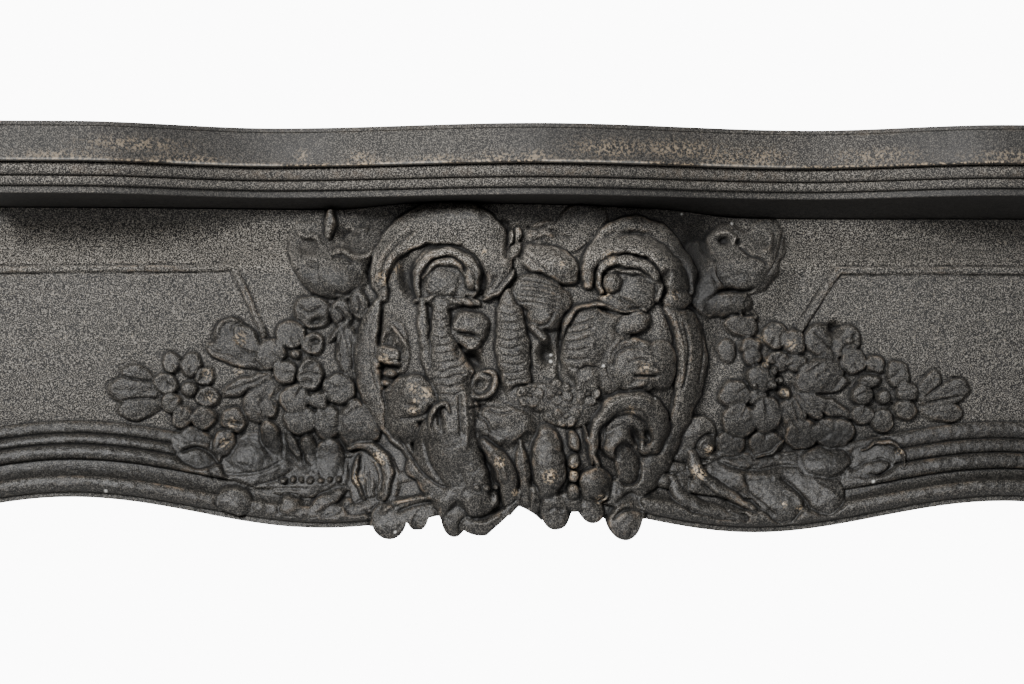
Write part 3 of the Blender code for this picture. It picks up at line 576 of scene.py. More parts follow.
def carve_lower_cartouche(r):
    """Head, loop and acanthus at the left, stem and bulbs in the middle, volute at the right."""
    r.put(boss(-80, -35, 18, 16, 5, 12.5, 0.15), boss(-86, -50, 11, 16, 22, 9.5, 0.1), melt=5, moat=0.8)
    r.ridge([(-88, -33), (-80, -27), (-71, -29), (-66, -36)], 4.0, 0.8)
    r.pit(-79, -39, 4.6, 1.8, -8, 1.6)
    r.ridge([(-83, -43.4), (-78, -42.6), (-73, -39.4)], 3.0, 1.6)
    r.groove([(-87, -47), (-79, -46.4), (-71, -44), (-67, -38)], 2.4, 2.4)
    r.put(boss(-10, -97, 15, 10, 0, 6.5, 0.0), boss(21, -98, 14, 8, 0, 6, 0.0), moat=0.0, rim=0.0)
    body = band([(-51, -31), (-51, -42), (-56, -56), (-57, -73), (-51, -90), (-47, -106)],
                (22, 30, 41, 47, 44, 40), (6, 12, 13.5, 14, 14, 10), edge=0.05)
    r.put(body, leaf(-62, -60, -82, -84, 17, 11, 0.2), boss(-46, -98, 21, 13, 0, 11.5, 0.1),
          boss(-60, -97, 7.5, 7, 0, 12.5, 0.2), melt=5, moat=0.5, over=False)
    r.put(band([(-67, -58), (-68, -48), (-64, -39), (-58.4, -37.4), (-56, -43)], (2.5, 5.0, 5.4, 5.0, 2.5),
               (13, 14.5, 15.5, 15.5, 14), edge=0.35), moat=0.9)
    r.pit(-62, -47.5, 2.2, 6.0, 8, 4.5)
    r.ridge([(-47, -30), (-46.4, -44), (-45.5, -56), (-47, -68)], 3.4, 1.8)
    r.groove([(-50.4, -30), (-50, -44), (-49.4, -58)], 2.2, 1.6)
    r.groove([(-41.6, -34), (-40.4, -48), (-39.6, -60)], 2.2, 1.4)
    r.swell(-58, -66, 15, 22, -18, 2.2)
    r.groove([(-72, -58), (-69, -72), (-62, -84), (-56, -90)], 2.8, 1.9)
    r.groove([(-80, -70), (-73, -80), (-64, -87), (-57, -90)], 2.4, 2.4)
    r.groove([(-53, -74), (-48, -84), (-45, -92)], 3.0, 0.9)
    r.groove([(-36, -62), (-33, -74), (-31, -86), (-30.4, -98)], 4.2, 3.2)
    r.groove([(-88, -58), (-82, -68), (-78, -74)], 2.4, 2.4)
    r.put(boss(-37, -25, 9.4, 8.2, 20, 5.5, 0.0), moat=0.4, rim=0.0)
    r.put(band([(-42, -18), (-45.5, -25), (-42, -32), (-34.5, -33), (-28.6, -27.5), (-29.6, -20),
                (-35, -17.6)], (3, 5, 5.6, 5.6, 5.4, 5, 3), 9.2, edge=0.2), moat=0.5)
    r.pit(-37.6, -25.6, 3.6, 3.0, 40, 4.4)
    r.groove([(-42, -18), (-45, -25), (-42, -33)], 2.2, 2.4)
    r.ridge([(-46, -38.4), (-35, -37), (-22, -37)], 3.0, 1.6)
    r.groove([(-46, -40.6), (-35, -39.4), (-22, -39.6)], 1.8, 1.6)
    r.put(boss(-22, -50, 23, 17, 12, 9.0, -0.2), moat=0.0, rim=0.0, soft=5.0)
    r.groove([(-40, -44), (-34, -48), (-30, -56)], 2.6, 2.0)
    r.groove([(-33, -41), (-24, -43.4), (-16, -42)], 2.2, 1.6)
    r.swell(-26, -54, 7, 6, 0, -1.6)
    r.put(band([(-36, -61), (-27.5, -70), (-21, -82), (-19.5, -99)], (6, 13, 15, 10), (9.5, 12.5, 12, 6),
               edge=0.2), moat=0.8)
    r.ridge([(-31, -66), (-25, -74), (-21.4, -86)], 3.0, 1.6)
    r.swell(-8, -56, 12, 9, 0, 1.6)
    r.put(band([(-13, -60), (-12, -72), (-10, -86), (-10, -99)], (5, 10, 10, 8), (4, 5.5, 5.5, 4.5),
               edge=0.0), moat=0.2, rim=0.0)
    r.ridge([(-13.6, -56), (-11.4, -72), (-9.6, -90)], 2.4, 1.0)
    # leaf tips along the lower edge
    r.put(leaf(-64, -96, -97, -118, 23, 9.5, 0.4, wide=0.7), boss(-95, -111, 11.5, 12, 0, 9, 0.5), moat=0.8)
    r.ridge([(-64, -95.5), (-76, -95.8), (-90, -99.5), (-100, -107)], 3.4, 2.6)
    r.groove([(-66, -98), (-78, -100.5), (-89, -105)], 2.6, 2.2)
    r.put(leaf(-66, -99, -75.4, -117, 13, 9.5, 0.5, wide=0.66), moat=0.9)
    r.put(leaf(-50, -96, -54, -121, 18, 11, 0.4, wide=0.66), moat=0.8)
    r.put(band([(-46, -113), (-36, -114), (-25, -109), (-15, -100)], (12, 14, 12, 6), (10, 11, 9, 5),
               edge=0.3), moat=0.8)
    r.groove([(-44, -108), (-34, -107), (-27, -101), (-24, -92)], 2.6, 2.2)
    r.ridge([(-42, -111), (-33, -110.6), (-24, -105)], 2.4, 1.6)
    for k in range(3):
        r.put(boss(-39.4 + 5.6 * k, -89, 2.6, 2.6, 0, 14.0, 0.6), moat=0.6)
    r.put(boss(4.4, -74, 11.4, 24.5, 3, 13, 0.15), moat=0.9)
    for k in range(4):
        r.groove([(6, -66 - 7.6 * k), (10.5, -67.5 - 7.6 * k), (14, -65.5 - 7.6 * k)], 1.8, 1.2)
    r.groove([(-5, -97), (4, -98.5), (12, -95)], 2.4, 2.0)
    r.put(leaf(7, -90, 9.4, -117.5, 19, 9, 0.4, wide=0.66), moat=0.8)
    r.groove([(4, -104), (9, -101.6), (14, -104)], 1.9, 1.6)
    r.put(leaf(30, -88, 32.5, -113, 17, 8.5, 0.4, wide=0.66), moat=0.8)
    r.put(leaf(57, -92, 51, -124, 24.5, 10, 0.4, wide=0.66), moat=0.8)
    r.groove([(44, -110), (50, -104.6), (58, -103.4), (64, -106)], 2.2, 2.2)
    r.ridge([(44, -106), (50, -100.8), (58, -99.6)], 2.8, 1.4)
    for z, a, b in ((-61, 4.6, 8.0), (-73, 4.6, 5.0), (-82.6, 4.2, 5.0), (-92, 5.0, 5.4)):
        r.put(boss(20, z, a, b, 8, 11.0, 0.3), moat=0.8)
    r.put(band([(26.5, -52), (30, -64), (31.6, -75)], (3, 4.8, 3), 10, edge=0.4), moat=0.7)
    r.put(boss(53, -57, 19, 19, 0, 8, 0.1), moat=0.3)
    volute = [(36, -79), (32, -66), (34, -51), (43, -40.5), (56, -37), (68.5, -42), (74, -53), (71.6, -64),
              (65, -67), (62.6, -62)]
    r.put(band(volute, (5, 7, 10, 14, 17, 18, 16, 12, 8, 4), (9, 11, 13, 14.5, 15, 15, 14, 13, 12, 10.5),
               edge=0.15, lean=0.08), moat=0.7)
    r.groove([(38.4, -60), (41, -49), (50, -42.4), (61, -42.6), (67, -50)], 2.0, 1.4)
    r.ridge([(35, -46), (44, -37.4), (56, -33.6), (68, -37)], 2.6, 1.0)
    r.put(boss(48.5, -62, 9.6, 12.5, -38, 13.0, 0.2), moat=0.8)
    r.put(leaf(50, -60, 57, -90, 19, 9.5, -0.05), moat=0.15, rim=0.0)
    r.pit(58.5, -58, 2.8, 6.0, 25, 6)
    r.pit(66, -57, 1.8, 3.0, 10, 4)
    r.put(boss(33.9, -88.4, 11.8, 12.6, 0, 12.0, 0.1), moat=0.8, rim=0.0)
    r.swell(33.6, -85.5, 10, 10, 0, 1.8)
    r.groove([(30, -95), (35, -98), (40, -94.6), (37.4, -91)], 2.0, 2.2)
    r.put(boss(-3, -34, 22, 10, 0, 5.5, 0.1), boss(18, -40, 20, 14, 0, 5.5, 0.1), melt=4, moat=0.2)
    for cx, cz, turn in ((-7, -33, 10), (11.4, -31, 40), (29, -31.5, 70), (15.6, -45.4, 20)):
        r.rosette(cx, cz, 8.8, turn, 9.0)


def carve_left_spray(r):
    """Leaf tip, outer flower, curled leaves, berried flower and the lobed leaf on the moulding."""
    r.bold = 0.66
    r.put(boss(-172, -74, 27, 19, 0, 7, -0.1), boss(-138, -84, 34, 13, 8, 6.5, -0.1), melt=6, moat=0.15,
          rim=0.0)
    r.swell(-180, -70, 17, 12, 0, 3.4)
    r.swell(-150, -72, 12, 9, 0, -1.8)
    r.swell(-158, -84, 15, 8, 10, -1.6)
    r.swell(-134, -84, 16, 8, 10, 1.6)
    r.groove([(-160, -74), (-172, -80), (-190, -82), (-202, -79)], 2.4, 1.0)
    r.groove([(-150, -78), (-164, -86), (-178, -89)], 2.4, 1.0)
    r.groove([(-202, -58), (-205, -74), (-202, -86)], 2.0, 1.4)
    r.put(boss(-188.7, -97.6, 12, 9.4, -22, 11.5, 0.3), moat=1.2)
    r.put(boss(-173, -101.6, 5.4, 5.6, 0, 9.5, 0.3), moat=1.0)
    r.put(boss(-164.4, -103, 4.4, 4.6, 0, 8.5, 0.3), moat=0.9)
    r.put(boss(-154, -101, 8.2, 7.2, -15, 11, 0.3), moat=1.2)
    r.put(leaf(-119, -90, -145, -107, 11, 11, 0.3, wide=0.6), moat=1.2)
    r.put(boss(-130, -105, 9, 4.6, 25, 7.5, 0.3), boss(-117, -101, 6, 5, 0, 8, 0.3), moat=0.9)
    r.groove([(-203, -84), (-190, -86), (-176, -91), (-160, -91), (-144, -91)], 2.2, 1.2)
    r.ridge([(-196, -94), (-190, -91), (-182, -91)], 3.4, 0.9)
    r.put(leaf(-200, -77, -226, -56, 24, 8, 0.35, wide=0.62, cup=0.12))
    r.groove([(-223, -68.5), (-213, -65.5), (-205, -69), (-198, -77)], 2.0, 2.6)
    r.ridge([(-224, -66), (-214, -62.6), (-204, -65)], 2.6, 1.0)
    r.put(leaf(-163, -76, -170, -46.5, 14, 11.5, 0.3, wide=0.66))
    r.put(leaf(-145, -80, -158.5, -54, 7.0, 11.0, 0.3, vein=0.1))
    r.put(leaf(-139, -84, -146.4, -56, 12, 11, 0.2, wide=0.7),
          leaf(-130, -90, -131, -58, 20, 11, 0.15, wide=0.6), melt=8, moat=1.1)
    r.put(leaf(-163, -22, -181, -50, 23, 8.5, vein=0.1))
    r.ridge([(-164, -27), (-170, -38), (-176, -47)], 2.4, 1.0)
    r.put(leaf(-172, -33, -165, -48, 9, 8.5))
    r.put(leaf(-162, -18, -199, -33, 11, 8, vein=0.25))
    r.put(leaf(-161, -17, -209, -2, 14, 9, vein=0.25, wide=0.68))
    r.put(leaf(-178, -10, -200, 13, 23, 8, 0.4, cup=0.3), moat=1.1)
    r.ridge([(-200, 2), (-199, 10), (-193, 14.4), (-186, 12)], 2.8, 1.6)
    r.put(leaf(-173, -8, -189, 10, 14, 11, 0.6, cup=0.75))
    r.put(leaf(-173, -3, -170.5, 8, 5, 7))
    r.put(boss(-190.5, -48.5, 10.0, 8.4, -30, 10, 0.3))
    r.pit(-188.6, -50.6, 4.6, 1.6, -10, 2.6)
    r.put(boss(-196.5, -63, 8.2, 9.6, -20, 10.0, 0.3))
    r.groove([(-200, -66), (-196, -62), (-191, -61.4)], 1.8, 1.4)
    r.put(leaf(-234, -28, -259, -15, 14, 7, vein=0.05), leaf(-233, -38, -262, -43, 16, 7, vein=0.05),
          leaf(-231, -31, -268, -29, 19, 8, vein=0.06), melt=10)
    r.groove([(-236, -25), (-247, -23.5), (-257, -21.5)], 1.7, 1.6)
    r.groove([(-236, -35), (-247, -34.8), (-258, -36)], 1.7, 1.6)
    for cx, cz, a, b, turn, cup in ((-221.5, -46.5, 6.4, 8.2, -20, 0), (-208.4, -47, 8.2, 7.2, 10, 0.1),
                                    (-228, -13, 6.0, 6.6, 20, 0.15), (-216, -14, 6.6, 7.8, -15, 0.2),
                                    (-228.6, -37.7, 6.8, 6.2, -15, 0.1), (-231.6, -25.5, 7.8, 6.2, -28, 0.5),
                                    (-207.6, -21.2, 6.6, 5.6, 25, 0.8), (-205.6, -34, 7.4, 6.6, 0, 0.8)):
        r.put(boss(cx, cz, a + 0.9, b + 0.9, turn, 8.4, 0.6, cup + 0.12), moat=0.6)
        r.groove([(0.95 * cx - 10.9, 0.95 * cz - 1.5), (0.55 * cx - 97.8, 0.55 * cz - 13.3)], 1.7, 0.8)
    r.ridge([(-231, -23), (-227, -26), (-225.6, -29.4)], 1.8, 1.2)
    r.ridge([(-209, -31.6), (-205.6, -34), (-203.4, -37)], 1.8, 1.6)
    r.put(boss(-217.4, -29.5, 5.8, 5.6, 0, 9.4, 0.4))
    r.put(boss(-141, 18.5, 14, 11, -10, 9, 0.25))
    r.pit(-139, 13, 3.4, 2.4, 20, 4)
    r.pit(-129, 15, 2.6, 3.6, 0, 4)
    r.groove([(-150, 22), (-143, 18), (-136, 22)], 2.2, 1.4)
    r.put(boss(-123, 18, 8, 10, 0, 8, 0.25))
    r.groove([(-127, 22), (-122, 17), (-122, 11)], 2.0, 2.2)
    r.put(boss(-112, 23.6, 6.6, 11.8, 8, 10, 0.2), moat=1.0)
    r.groove([(-114, 29), (-111.4, 22), (-113.4, 16)], 1.7, 1.4)
    r.put(leaf(-134, -1, -117, 14, 7, 9))
    r.put(leaf(-115, -27, -121, 13, 18, 10.5, 0.2, wide=0.5, vein=0.16))
    r.groove([(-115.6, -18), (-116, -4), (-118.6, 6)], 1.7, 1.2)
    r.groove([(-124, -14), (-125.6, -4), (-123.6, 5)], 1.7, 1.0)
    r.put(leaf(-122, -36, -110, -42, 10, 8))
    for cx, cz, a, b, h, cup in ((-152, -7.4, 4.4, 3.6, 9, 0), (-141, -1, 7.4, 7.2, 10, 0.7),
                                 (-167, -7, 10, 9.6, 10, 0.12), (-155, 5, 9.4, 9.4, 10.5, 0.12),
                                 (-132, -50, 9.2, 11.6, 10, 0.12), (-149, -48.5, 11.2, 9.6, 10, 0.12),
                                 (-152, -35, 10.6, 9, 10.5, 0.12), (-124.5, -29, 10.4, 10, 11, 0.14),
                                 (-138, -36, 6.6, 5.8, 11, 0), (-142.5, -20, 8.2, 10.8, 12, 0.3),
                                 (-158.4, -18.8, 7.4, 8.0, 11, 0.14)):
        r.put(boss(cx, cz, a + 0.8, b + 0.8, 0, h - 0.6, 0.55, cup + 0.12), moat=0.6)
        r.groove([(0.95 * cx - 7.1, 0.95 * cz - 1.0), (0.5 * cx - 71.2, 0.5 * cz - 10.0)], 1.8, 0.9)
    r.put(boss(-112, -52, 15, 16, -15, 10, 0.15), moat=0.7)
    r.pit(-142.5, -14.5, 4.6, 3.0, 20, 2.6)
    r.pit(-144, -25, 3.4, 2.4, -20, 1.8)
    r.groove([(-149, -21), (-143, -19), (-137, -20.5)], 1.8, 1.5)
    r.pit(-139, 0.6, 2.0, 1.8, 0, 2.4)
    r.ridge([(-122, -45), (-114, -38.6), (-104, -40)], 3.6, 1.4)
    r.put(boss(-103, -86, 17, 24, 8, 7, 0.1), moat=0.3)
    r.put(band([(-119, -66), (-109, -64.6), (-99, -70), (-94, -81), (-97, -95), (-106, -105)],
               (4, 8.5, 9, 8.5, 8, 4), (9, 12, 12.5, 12, 11, 8), edge=0.3), moat=0.8)
    r.put(band([(-113, -72), (-114.6, -84), (-109, -97)], (3.5, 6.2, 3.5), 12.5, edge=0.4), moat=0.8)
    r.put(leaf(-108, -72, -104, -99, 7.4, 10, 0.3, vein=0.2), moat=0.8)
    r.groove([(-104, -74), (-100.6, -84), (-102, -94)], 1.8, 1.4)
    r.put(leaf(-96, -97, -121, -107, 10, 8), moat=0.7)
    for k in range(7):
        r.put(boss(-159 + 5.7 * k, -85.6, 2.5, 2.5, 0, 10.8, 0.7), moat=0.7)


def carve_right_spray(r):
    """The spray at the right, looser than the left one, with a volute head beside the cartouche."""
    r.bold = 0.66
    r.put(boss(136, -84, 34, 15, -6, 7, -0.1), boss(168, -84, 26, 15, 0, 6.5, -0.1), melt=6, moat=0.15,
          rim=0.0)
    r.swell(150, -80, 18, 7, -4, -1.6)
    r.swell(128, -88, 14, 8, -20, 1.6)
    r.put(leaf(128, -78, 163, -109, 28, 10.5, 0.0, wide=0.74),
          leaf(152, -76, 189, -104, 27, 10.0, 0.0, wide=0.72), moat=0.6, melt=9, rim=0.1)
    r.groove([(150, -84), (160, -92), (168, -101), (168, -107)], 2.2, 2.2)
    r.groove([(128, -92), (138, -100), (148, -109)], 2.0, 1.2)
    r.ridge([(152, -92), (160, -96), (163.6, -103)], 2.6, 1.6)
    r.ridge([(172, -88), (182, -93), (188, -99)], 2.6, 1.0)
    r.groove([(113, -75), (124, -79), (138, -80.6), (152, -78), (166, -78.6)], 2.4, 1.8)
    r.ridge([(116, -80), (130, -84), (146, -84), (160, -82)], 4.4, 1.3)
    r.put(boss(180, -75.5, 17.5, 10.4, 4, 11, 0.1), moat=0.9, rim=0.0)
    r.put(leaf(188, -84, 223, -77, 12, 9, 0.4))
    r.put(leaf(196, -80, 225, -66, 24, 8.0, 0.4, wide=0.6, cup=0.2))
    r.put(band([(204, -68), (211, -63.8), (220, -63.3), (227.5, -68.5), (228.5, -78)],
               (2.5, 4.6, 4.8, 4.6, 2.5), 11, edge=0.5), moat=0.8)
    r.put(leaf(196, -83, 221, -76, 9, 10))
    r.put(boss(127, 10, 12, 8, -15, 8, 0.25))
    r.put(leaf(120, -14, 116, 3, 14, 7))
    for cx, cz, a, b, h in ((133, -2, 8, 5.4, 10), (134, -9, 6, 6, 9), (150, -12, 8, 7, 8),
                            (162, -13, 7, 6, 8), (148, 4, 8.8, 8.6, 10), (160, 0, 7.8, 8.8, 10.5),
                            (143, -64, 11.4, 8.8, 8.0), (121, -64, 10.4, 8.6, 7.5),
                            (158, -43, 7.4, 10.6, 8.5), (166, -58, 11.6, 10, 8.5), (186, -57, 14, 9.8, 10),
                            (137, -34, 7, 6, 10), (122.5, -33, 10.4, 9.8, 10.5), (126, -49, 12, 10.8, 10.5),
                            (143, -46, 10, 11.8, 10.5)):
        r.put(boss(cx, cz, a + 0.8, b + 0.8, 0, h - 0.6, 0.55, 0.16), moat=0.6)
        r.groove([(0.95 * cx + 7.0, 0.95 * cz - 1.1), (0.5 * cx + 69.5, 0.5 * cz - 11.2)], 1.8, 0.9)
    r.put(boss(139, -22.5, 11, 9.8, 0, 12, 0.35), moat=1.0)
    for cx, cz in ((146, -27), (134.5, -27.5), (141.5, -14.5), (147, -18), (151, -24)):
        r.put(boss(cx, cz, 3.4, 3.4, 0, 14), moat=0.7)
    r.put(boss(154, -32, 6, 4.4, -10, 11))
    r.put(band([(137, -72), (147, -70), (154, -62)], (2.5, 4.6, 2.5), 9.5), moat=0.7)
    for x, z, w in ((168, -51, 9), (179, -50, 10), (190, -47, 10), (201, -49, 10)):
        r.put(leaf(160, -28, x, z, w, 8.4, 0.4, 0.66, vein=0.16), moat=0.8)
    r.put(leaf(162, -29, 197, -24, 13, 8.4))
    r.put(leaf(160, -29, 192, -13, 24, 10, 0.2, wide=0.6, vein=0.06), moat=1.0)
    r.ridge([(166, -19), (176, -12), (186, -9.6)], 2.4, 1.6)
    r.put(leaf(190, -10, 169, 9, 22, 8.8), moat=1.0)
    r.put(leaf(187, -9, 200, 10, 19, 8.8), moat=1.0)
    r.groove([(172, 7), (178, 2), (186, -6)], 1.8, 1.4)
    r.groove([(200, 6), (195, 0), (190, -6)], 1.8, 1.4)
    r.pit(186.5, 8, 4.2, 4.6, 0, 7)
    r.put(boss(195, 1.5, 4, 3.4, 0, 10), moat=0.7)
    for cx, cz, a, b, turn, cup in ((216, -49, 7.4, 8.0, 10, 0), (204, -45.5, 8.0, 6.4, -10, 0.1),
                                    (230, -43, 8.6, 6.4, -12, 0.1), (197.6, -12.4, 8.2, 8.2, 0, 0.15),
                                    (225.4, -20, 7.6, 9.0, 20, 0.2), (211.6, -14.2, 6.8, 6.0, -25, 0.3),
                                    (231.6, -31, 7.2, 6.4, 0, 0.1)):
        r.put(boss(cx, cz, a + 0.8, b + 0.8, turn, 8.4, 0.6, cup + 0.12), moat=0.6)
        r.groove([(0.95 * cx + 10.4, 0.95 * cz - 1.5), (0.55 * cx + 93.6, 0.55 * cz - 13.5)], 1.8, 0.9)
    r.put(boss(208, -24.6, 8.6, 5.0, 12, 10), moat=0.9)
    r.put(boss(203.2, -33, 8.0, 7.8, 0, 12), moat=1.0)
    r.groove([(199, -34), (205, -31.6), (212, -33)], 1.8, 1.4)
    r.put(boss(216, -34.6, 5.2, 4.8, 0, 10.5, 0.4), moat=0.9)
    r.put(leaf(238, -38, 252, -18, 14, 7, vein=0.06), leaf(238, -43, 268, -45, 15, 7, vein=0.06),
          leaf(237, -38, 272, -27, 17, 8, vein=0.06), melt=10)
    r.groove([(242, -35), (249, -29.5), (255, -25)], 1.7, 1.8)
    r.groove([(243, -38.5), (254, -36), (265, -34)], 1.7, 1.8)
    r.put(boss(99, -60.5, 14, 15.5, -10, 11, 0.2), moat=0.9)
    r.put(boss(105.6, -67, 4.6, 4.4, 0, 12.5, 0.2), moat=0.5)
    r.groove([(111, -58), (104, -58.4), (98.6, -65), (101, -73), (109, -74.6)], 2.2, 2.6)
    r.put(band([(96, -70), (99, -81), (108, -89.5), (121, -96.5), (134, -105)], (10, 12, 11, 9, 5),
               (12, 13, 12, 10.5, 9), edge=0.1), moat=0.5, rim=0.0)
    r.groove([(98, -84), (107, -93), (120, -100.4)], 1.8, 1.4)
    r.put(leaf(94, -80, 83, -96, 14, 9, 0.25), moat=0.7)
    r.put(band([(83, -84), (88, -96), (103, -104), (128, -110)], (7, 11, 11, 6), (8, 10, 9.5, 7), edge=0.0),
          moat=0.4, rim=0.0)


def carve(r):
    carve_ground(r)
    carve_side_domes(r)
    carve_left_spray(r)
    carve_right_spray(r)
    carve_frames(r)
    carve_left_scroll(r)
    carve_right_scroll(r)
    carve_shells(r)
    carve_lower_cartouche(r)


def shaped_grid(name, x, y, z):
    """A grid primitive with one vertex for each place in the arrays, moved to those places."""
    rows, columns = x.shape
    bpy.ops.object.select_all(action="DESELECT")
    bpy.ops.mesh.primitive_grid_add(x_subdivisions=columns - 1, y_subdivisions=rows - 1, size=2.0)
    thing = bpy.context.object
    thing.name = name
    thing.data.name = name
    start = np.empty(3 * len(thing.data.vertices))
    thing.data.vertices.foreach_get("co", start)
    start = start.reshape(-1, 3)
    column = np.rint((start[:, 0] + 1.0) / 2.0 * (columns - 1)).astype(int)
    row = np.rint((start[:, 1] + 1.0) / 2.0 * (rows - 1)).astype(int)
    places = np.stack([x[row, column], y[row, column], z[row, column]], 1) * MM
    thing.data.vertices.foreach_set("co", places.ravel())
    thing.data.update()
    return thing, row, column


def keep_values(thing, name, values):
    """Store one number for each vertex, for the paint to read."""
    layer = thing.data.attributes.new(name, "FLOAT", "POINT")
    layer.data.foreach_set("value", values.astype(np.float32))


def softened(values, count):
    """Mean over a few neighbours in both directions, count steps wide to each side."""
    kernel = np.exp(-np.linspace(-2.0, 2.0, 2 * count + 1) ** 2)
    kernel /= kernel.sum()
    for axis in (0, 1):
        padded = np.pad(values, [(count, count) if k == axis else (0, 0) for k in (0, 1)], mode="edge")
        size = values.shape[axis]
        values = sum(w * np.take(padded, range(k, k + size), axis) for k, w in enumerate(kernel))
    return values


def add(tree, kind, place, **settings):
    """A shader node at a place in the editor."""
    node = tree.nodes.new(kind)
    node.location = place
    for key, value in settings.items():
        setattr(node, key, value)
    return node


def feed(tree, socket, value):
    """Link a socket to another one's value, or set it to a number or colour."""
    if isinstance(value, bpy.types.NodeSocket):
        tree.links.new(value, socket)
    else:
        socket.default_value = value


def noise(tree, place, vector, scale, detail, roughness=0.5):
    node = add(tree, "ShaderNodeTexNoise", place)
    for label, value in (("Vector", vector), ("Scale", scale), ("Detail", detail), ("Roughness", roughness)):
        feed(tree, node.inputs[label], value)
    return node.outputs["Fac"]


def stored(tree, name, place):
    """One of the numbers kept for each vertex."""
    return add(tree, "ShaderNodeAttribute", place, attribute_name=name).outputs["Fac"]


def ramp(tree, source, place, stops):
    node = add(tree, "ShaderNodeValToRGB", place)
    for _ in range(len(stops) - 2):
        node.color_ramp.elements.new(0.5)
    for element, (position, value) in zip(node.color_ramp.elements, stops):
        element.position = position
        element.color = (value, value, value, 1.0)
    tree.links.new(source, node.inputs["Fac"])
    return node.outputs["Color"]


def mixed(tree, place, kind, share, low, high):
    node = add(tree, "ShaderNodeMix", place, data_type="RGBA", blend_type=kind)
    for socket, value in ((node.inputs[0], share), (node.inputs[6], low), (node.inputs[7], high)):
        feed(tree, socket, value)
    return node.outputs[2]


def worked(tree, place, operation, *values, clamp=False):
    node = add(tree, "ShaderNodeMath", place, operation=operation, use_clamp=clamp)
    for socket, value in zip(node.inputs, values):
        feed(tree, socket, value)
    return node.outputs[0]


def sand_group():
    """Height of the sand-cast skin under the paint: grains of under a millimetre, with coarser lumps."""
    group = bpy.data.node_groups.new("sand_skin", "ShaderNodeTree")
    sockets = (("Place", "INPUT", "NodeSocketVector"), ("Grain", "INPUT", "NodeSocketFloat"),
               ("Lumps", "INPUT", "NodeSocketFloat"), ("Height", "OUTPUT", "NodeSocketFloat"),
               ("Speck", "OUTPUT", "NodeSocketFloat"))
    for label, way, kind in sockets:
        group.interface.new_socket(label, in_out=way, socket_type=kind)
    given = group.nodes.new("NodeGroupInput").outputs
    result = group.nodes.new("NodeGroupOutput").inputs
    grains = noise(group, (-600, 200), given["Place"], 1450.0, 1.0, 0.6)
    lumps = noise(group, (-600, -400), given["Place"], 240.0, 3.0)
    grain = worked(group, (-300, 200), "MULTIPLY", grains, given["Grain"])
    lump = worked(group, (-300, -400), "MULTIPLY", lumps, given["Lumps"])
    group.links.new(worked(group, (-100, 0), "ADD", grain, lump), result["Height"])
    speck = ramp(group, grains, (-300, -100), ((0.0, 0.0), (0.49, 0.0), (0.61, 1.0)))
    group.links.new(speck, result["Speck"])
    return group


SPECK_GREY = (0.31, 0.286, 0.25, 1.0)
THIN_BROWN = (0.15, 0.112, 0.078, 1.0)
BARE_BROWN = (0.36, 0.28, 0.19, 1.0)
FLECK_GREY = (0.33, 0.29, 0.235, 1.0)
# black for the grime and the painted shade in the creases
CREASE_DIRT_AND_SHADE_BLACK = (0.008, 0.0083, 0.009, 1.0)
LINT_WHITE = (0.75, 0.74, 0.70, 1.0)
CLOUD_SHADE = (0.72, 0.72, 0.72, 1.0)
sand_skin = sand_group()


